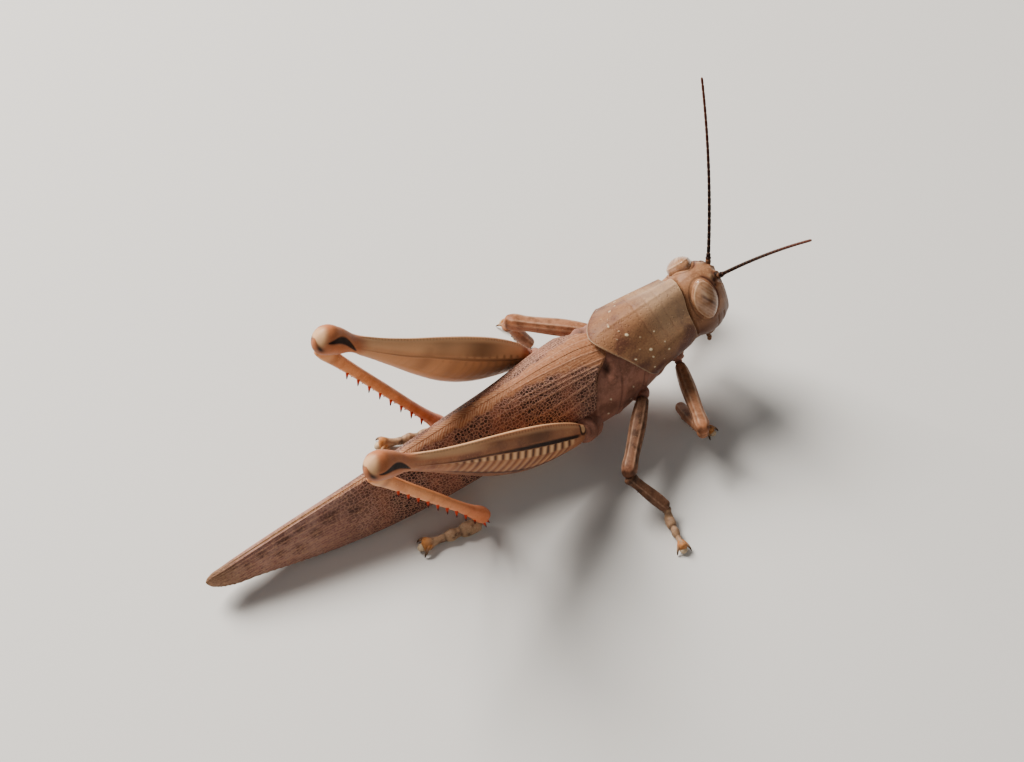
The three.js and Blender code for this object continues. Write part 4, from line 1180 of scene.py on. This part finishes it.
def hind_thigh(side_name):
    """
    Jumping leg's thigh: a deep club with a crest above and a keel below. A dark line runs along each
    broad face; under it stand pale blocks, and from their feet thin chevrons slant to the knee below.
    The knee has a dark crescent, and a painted highlight on its end.
    """
    side = SIDES[side_name]
    hip, knee, _heel, _toe = joints_of("hind", side_name)
    start, turn = hip + unit(knee - hip) * 0.3, girdle(150)
    points, length, t = segment(
        HIND_FEMUR, start, knee, turn, FULLNESS["thigh"], 0.55, past=HIND_KNEE, pitch=0.115
    )
    along = t * length
    x = along - (length - HIND_KNEE)
    out, up = -side * np.cos(turn), np.sin(turn)
    level = signed(up, 2 / FULLNESS["thigh"]) + 0 * t
    outer = ramp(out, -0.15, 0.15)
    shaft = window(t, 0.03, 0.07, 0.76, 0.84)
    line_level, bend_level = smooth(THIGH_LINE, t)
    off_line = level - line_level + 0.15 * (1 - outer)

    crest, keel = bump(up - 1, 0.012) * shaft, bump(up + 1, 0.014) * shaft
    broad = 0.045 + 0.045 * ramp(t, 0.55, 0.2) * (0.3 + 0.7 * outer)
    line = ramp(np.abs(off_line - 0.03), broad + 0.03, broad - 0.03) * shaft
    patterned = window(t, 0.05, 0.1, 0.5, 0.74)
    slope = 1.5 * np.maximum(0, level - bend_level) + 0.45 * np.maximum(0, bend_level - level)
    beat = ripple((along - slope) / CHEVRON_PITCH)
    block = ramp(off_line, -0.02, -0.08) * ramp(level, bend_level - 0.05, bend_level + 0.03) * patterned
    below = ramp(level, bend_level + 0.02, bend_level - 0.06) * ramp(level, -0.66, -0.54) * patterned
    lobe = window(x, -4.2, -2.6, 0.4, 1.6) * bump(level - 0.25, 0.35)
    arch = 0.48 - 0.078 * (x + 1.6 - 0.7 * (1 - outer)) ** 2 + 0.1 * (1 - outer)
    thick = 0.2 * np.sqrt(np.clip(1 - ((x + 1.6) / 2.75) ** 2, 0, 1))
    crescent = ramp(np.abs(level - arch), thick + 0.05, thick - 0.05) * ramp(thick, 0, 0.08)
    crescent = crescent * ramp(np.abs(out), 0.1, 0.3)
    height = 0.1 * crest + 0.12 * keel + 0.07 * line - 0.05 * (block + below) - 0.06 * crescent
    height += (0.07 * beat * block + 0.05 * beat**1.5 * below) * (0.4 + 0.6 * outer) + 0.06 * lobe

    gaps = (1 - beat) ** 2
    below_edge = most(0.85 * bump(level + 0.62, 0.08), 0.4 * ramp(level, -0.58, -0.7))
    above = window(off_line, 0.06, 0.12, 0.2, 0.3) * (1 - outer) * ramp(t, 0.4, 0.3) * patterned
    smudge = (bump(t - 0.5, 0.035) + 0.6 * bump(t - 0.36, 0.03)) * window(level, -0.75, -0.4, 0.6, 0.95)
    cloud = bump(t - 0.27, 0.1) + 0.5 * bump(t - 0.45, 0.06)
    dusky = ramp(off_line, 0.05, 0.2) * ramp(level, 1.0, 0.85) * cloud
    hip_spot = np.hypot((along - 1.1) / 0.42, (level - 0.9) / 0.22)
    hip_pale = ramp(hip_spot, 1.3, 0.9) * outer
    dots = bump(up - 0.985, 0.02) * ripple(along / 0.5) ** 4 * shaft
    # painted highlight: the knee's end is painted cream where light gleams on it
    cap = ramp(x, 1.0, 1.75) * ramp(level, -0.55, -0.2)
    dark = most(
        line * ramp(t, 0.78, 0.6) * (0.5 + 0.5 * outer) * (0.8 + 0.2 * ramp(t, 0.5, 0.3)),
        outer * below_edge * window(t, 0.02, 0.1, 0.55, 0.78),
        crescent,
        gaps * (0.8 * block + 0.4 * gaps * below) * (0.2 + 0.8 * outer),
        0.45 * gaps * above,
        0.3 * (1 - outer) * smudge,
        0.64 * dusky,
        bump(np.hypot(x - 1.3, (level + 0.5) * 1.9), 0.5),
        # painted shadow of the wing and thorax: a near-black ring round the pale spot at the hip
        0.9 * ramp(hip_spot, 2.1, 1.6) * outer,
        0.3 * dots,
    )
    pale = most(
        beat**0.8 * block * (0.45 + 0.5 * outer),
        beat**2 * below * (0.3 + 0.08 * outer),
        0.45 * bump(up - 0.95, 0.06) * shaft * (1 - dots),
        (0.6 + 0.3 * ramp(level, 0.3, 0.6)) * (1 - outer) * shaft + 0.25 * beat * above,
        # the upper face near the knee is paler: partly its own tan, partly a painted highlight
        (0.12 + 0.6 * ramp(t, 0.4, 0.6)) * ramp(level, 0.55, 0.85) * (1 - dusky) * shaft,
        0.95 * cap,
        0.95 * hip_pale,
    )
    reddish = most(0.7 * ramp(t, 0.8, 0.92), 0.45 * (1 - outer)) * (1 - cap)
    warm = most(reddish, 0.6 * ramp(off_line, 0.25, 0.5) * (1 - dusky))
    dark = np.clip(dark * (1 - 0.9 * hip_pale), 0, 1)
    return patch(raised(points, height), {"dark": dark, "pale": np.clip(pale, 0, 1), "warm": warm})


def hind_shin(side_name):
    """Jumping leg's shin: a shaft with a bulging head, two rows of spines behind, and spurs at its end."""
    hip, knee, heel, _toe = joints_of("hind", side_name)
    way, _level, above = facing(hip, knee)
    beyond, below = HIND_HINGE
    start = knee + way * beyond - above * below
    turn = girdle(64)
    points, length, t = segment(HIND_TIBIA, start, heel, turn, FULLNESS["shin"], 0.45, pitch=0.12)
    up = np.sin(turn)
    dark = most(0.75 * bump(t - 0.035, 0.02) * ramp(up, -0.2, 0.6), 0.35 * bump(t - 0.1, 0.02))
    pale = 0.75 * bump(t - 0.06, 0.022) * ramp(up, 0.9, 0.0) + 0.35 * bump(np.abs(up) - 0.75, 0.1)
    marks = {"warm": 0.35 * ramp(t, 0.45, 1.0), "dark": dark, "pale": pale * ramp(t, 0.9, 0.5)}
    parts = [patch(points, marks)]
    shin_way, level, over = facing(knee, heel)
    shaft = unit(heel - start) * length
    for row in (1, -1):
        for place in np.linspace(0.22, 0.9, 9):
            lie = unit(-over + level * row * 0.75 + shin_way * 0.55)
            parts.append(spike(start + shaft * place + lie * 0.3, lie, 1.13, 0.25, red=1.0))
        for spread_out, lift, reach in ((0.75, -0.85, 1.5), (1.0, -0.2, 1.25)):
            lie = unit(shin_way * 1.0 + level * row * spread_out * 0.55 + over * lift * 0.5)
            root = start + shaft * 0.968 + level * row * 0.4 + over * lift * 0.35
            parts.append(spike(root, lie, reach, 0.27, red=1.0))
    return parts


def ridged(points, turn, t, marks, ridges, tall):
    """Long ridges on a small leg, at angles in degrees, each with a pale dotted line: partly a pale keel,
    partly a painted highlight.
    """
    height, pales = 0, []
    for angle in np.radians(ridges):
        ridge = bump(apart(turn, angle), 0.13) * window(t, 0.04, 0.12, 0.88, 0.97)
        height = height + tall * ridge
        # the pale dotted line is partly the keel's own colour, partly a painted highlight
        pales.append(ridge * (0.75 + 0.25 * np.sin(t * 60 + angle * 3)))
    return patch(raised(points, height), marks | {"pale": 0.5 * most(*pales)})


def shin_swell(along, length):
    """A small leg's shin is stouter below its knee and a little at its heel."""
    return 1 + 0.35 * bump(along - 0.5, 0.5) + 0.12 * bump(along - length + 0.4, 0.4)


def small_leg(kind, side_name):
    """Thigh and shin of a fore or middle leg, ridged along, with rows of short spines under the shin."""
    hip, knee, heel, _toe = joints_of(kind, side_name)
    girth, turn = LEGS[kind]["girth"], girdle(72)
    way, _level, above = facing(hip, knee)
    beyond, below = SMALL_HINGE
    hinge = knee + way * beyond - above * below

    stout = girth * (0.88 if kind == "fore" else 0.95)
    full, start = FULLNESS["small"], hip + way * 0.3
    points, _length, t = segment(SMALL_FEMUR, start, knee, turn, full, 0.45, stout, past=0.35)
    knee_dark = 0.7 * bump(t - 0.965, 0.022) * ramp(np.abs(np.cos(turn)), 0.2, 0.6)
    marks = {"dark": most(knee_dark, 0.6 * bump(t - 0.02, 0.03)), "warm": 0.4 * ramp(t, 0.82, 0.95)}
    thigh = ridged(points, turn, t, marks, [25, 62, 118, 155, 205, 335], 0.07)

    shin_way, level, over = facing(hinge, heel)
    start = hinge - shin_way * 0.15
    points, length, t = segment(SMALL_TIBIA, start, heel, turn, full, 0.35, girth, 0.2, swell=shin_swell)
    marks = {"dark": most(0.6 * bump(t - 0.1, 0.03), 0.35 * bump(t - 0.55, 0.06))}
    shin = [ridged(points, turn, t, marks, [45, 135], 0.05)]
    for row in (1, -1):
        for place in np.linspace(0.3, 0.93, 6):
            lie = unit(-over * 0.9 + level * row * 0.55 + shin_way * 0.6)
            shin.append(spike(start + shin_way * length * place + lie * 0.4 * girth, lie, 0.55, 0.12))
    return thigh, shin


def foot(kind, side_name):
    """Foot: three joints with pale pads below, pressed flat where they meet the floor, and two claws."""
    _hip, _knee, heel, toe = joints_of(kind, side_name)
    girth, turn = LEGS[kind]["girth"], girdle(56)
    flat = np.array([1, 1, 0])
    way, level, _above = facing(heel * flat, toe * flat)
    up = np.array([0, 0, girth])
    start = heel * flat + up * SOLE + way * girth * 0.35
    end = toe * flat + up * SOLE - way * 0.9
    narrow = girth * np.array([[0.84], [1]])  # thinner than it is deep
    points, _length, t = segment(TARSUS, start, end, turn, FULLNESS["foot"], 0.3, narrow, pitch=0.07)
    below = ramp(np.sin(turn), -0.25, -0.6)
    split = bump(t - 0.36, 0.02) + bump(t - 0.62, 0.02) + 0.6 * bump(t - 0.13, 0.015) * below
    pads = bump(t - 0.06, 0.05) + bump(t - 0.24, 0.08) + bump(t - 0.5, 0.09) + bump(t - 0.93, 0.06)
    pads = below * pads
    marks = {"dark": 0.6 * np.clip(split, 0, 1), "pale": 0.9 * np.clip(pads, 0, 1)}
    pressed = raised(points, 0.02 * pads - 0.04 * split)
    pressed[..., 2] = np.maximum(pressed[..., 2], 0)
    parts = [patch(pressed, marks | {"warm": 0.8 * ramp(t, 0.8, 0.95)})]
    u = eased(30, 0.6)
    line = bezier(heel + [0, 0, 0.15], start * flat + [0, 0, heel[2] * 0.8], start + way * 0.9, u)
    size = girth * (0.5 - 0.08 * bump(u - 0.5, 0.25)) * domed(u, 1.0, 0.25)
    parts.append(thread(line, size, 56, {"dark": 0.5 * bump(u - 0.5, 0.12)}))
    tip = end * flat
    u = np.linspace(0, 1, 26)
    size = 0.2 * girth * (1 - u) ** 0.6 + 0.03
    claw_marks = {"dark": ramp(u, 0.5, 0.85), "warm": ramp(u, 0.6, 0.2)}
    for row in (1, -1):
        aside = level * row * girth
        root = tip - way * 1.1 + aside * 0.12 + up * 0.72
        peak = root + way * 0.75 + aside * 0.5 + up * 0.2 + [0, 0, 0.1]
        point = root + way * 1.25 + aside * 0.72
        point[2] = 0.12
        parts.append(thread(bezier(root, peak, point, u), size, 12, claw_marks))
    pad = ball(tip - way * 0.05 + up * 0.42, (0.42 * girth, 0.34 * girth, 0.36 * girth), 20, 28)
    pad[..., 2] = np.maximum(pad[..., 2], 0)
    parts.append(patch(pad, {"pale": np.full((20, 1), 0.7)}))
    return parts


def hip_joint(kind, side_name):
    """Coxa, a stout cone from the side of the thorax, and the small trochanter that carries the thigh."""
    place, width = COXA[kind]
    root = room(*mirrored(place, SIDES[side_name]))
    hip = joints_of(kind, side_name)[0]
    way = unit(hip - root)
    length = max(float(np.linalg.norm(hip - root)), COXA_LEAST) - 0.1
    root = hip - way * (length + 0.1)
    along = stations(length, 0.1, 0.4)
    size = width * (0.9 - 0.3 * along / length) * domed(along, length, 0.4)
    turn = girdle(64)
    points = limb(root + way * along[:, None], (size, size), turn)
    seam = bump((along / length)[:, None] - 0.62 - 0.1 * np.cos(turn), 0.05)
    cone = patch(raised(points, -0.1 * seam), {"dark": 0.3 * seam})
    ring = ball(hip - way * 0.05, np.full(3, width * (0.36 if kind == "fore" else 0.42)), 28, 36)
    return [cone, patch(ring)]


def leg(kind, side_name):
    """One leg as four pieces: its hip, thigh, shin and foot."""
    if kind == "hind":
        thigh, shin = hind_thigh(side_name), hind_shin(side_name)
        thigh_finish, shin_finish, slots = thigh_chitin, shin_chitin, ("hind_femur", "hind_tibia")
    else:
        thigh, shin = small_leg(kind, side_name)
        # the middle right leg takes the copy painted darker as painted shade, the others the copy painted
        # lighter as painted light
        shaded = (kind, side_name) == ("mid", "right")
        thigh_finish = shin_finish = mid_leg_painted_shade_chitin if shaded else small_legs_painted_light_chitin
        slots = ("small_leg", "small_leg")
    for part, parts, finish, node, slot in (
        ("hip", hip_joint(kind, side_name), side_chitin, "coxa", "thorax"),
        ("thigh", [thigh], thigh_finish, "femur", slots[0]),
        ("shin", shin, shin_finish, "tibia", slots[1]),
        ("foot", foot(kind, side_name), foot_chitin, "tarsus", "tarsus"),
    ):
        piece(f"{kind}_{part}_{side_name}", parts, [finish], [f"{kind}_{node}_{side_name}"])


for side_name in SIDES:
    for kind in LEGS:
        leg(kind, side_name)


# ------------------------------------------------------------------ stage
FLOOR_HALF = 1500.0
VIEW_AIM, VIEW_REACH, VIEW_LENS = (45.0, 8.55, 0.0), 299, 87.5
VIEW_TURN, VIEW_RISE = math.radians(30.8), math.radians(54)
# a soft key from ahead, left and above, and a faint wide fill behind the viewer
LAMPS = {
    "key": {"place": (-150, 430, 430), "size": 320, "watts": 11.5, "colour": (1.0, 0.97, 0.93)},
    "fill": {"place": (-60, -420, 260), "size": 420, "watts": 0.45, "colour": (1.0, 0.95, 0.9)},
}
ROOM_COLOUR, ROOM_STRENGTH = (0.9, 0.95, 1.0, 1), 0.135

# matt warm grey paper, so that only the animal gleams
floor_finish, _tree, floor_shader = new_finish("studio_paper_sweep")
floor_shader.inputs["Base Color"].default_value = linear("d8d4ce")
floor_shader.inputs["Roughness"].default_value = 0.9
reach = [-FLOOR_HALF, FLOOR_HALF]
floor_mesh = bpy.data.meshes.new("studio_floor")
floor_mesh.from_pydata([(x * MM, y * MM, 0.0) for x in reach for y in reach], [], [(0, 2, 3, 1)])
floor_mesh.materials.append(floor_finish)
floor = bpy.data.objects.new("studio_floor", floor_mesh)
bpy.context.scene.collection.objects.link(floor)


def look_at(made, place, target):
    """Puts a camera or lamp at a place, in mm, pointing at a target."""
    place, target = Vector(place) * MM, Vector(target) * MM
    made.location = place
    made.rotation_euler = (target - place).to_track_quat("-Z", "Y").to_euler()
    bpy.context.scene.collection.objects.link(made)


aim = np.array(VIEW_AIM) - ORIGIN
level_back = np.array([-math.sin(VIEW_TURN), -math.cos(VIEW_TURN), 0]) * math.cos(VIEW_RISE)
lens = bpy.data.cameras.new("view")
lens.lens = VIEW_LENS
lens.clip_start = 0.01
camera = bpy.data.objects.new("view", lens)
look_at(camera, aim + (level_back + [0, 0, math.sin(VIEW_RISE)]) * VIEW_REACH, aim)
bpy.context.scene.camera = camera

for name, kind in LAMPS.items():
    lamp = bpy.data.lights.new(name, "AREA")
    lamp.size, lamp.energy, lamp.color = kind["size"] * MM, kind["watts"], kind["colour"]
    look_at(bpy.data.objects.new(name, lamp), kind["place"], (0, 0, 5))
world = bpy.data.worlds.new("studio")
world.use_nodes = True
world.node_tree.nodes["Background"].inputs["Color"].default_value = ROOM_COLOUR
world.node_tree.nodes["Background"].inputs["Strength"].default_value = ROOM_STRENGTH
bpy.context.scene.world = world
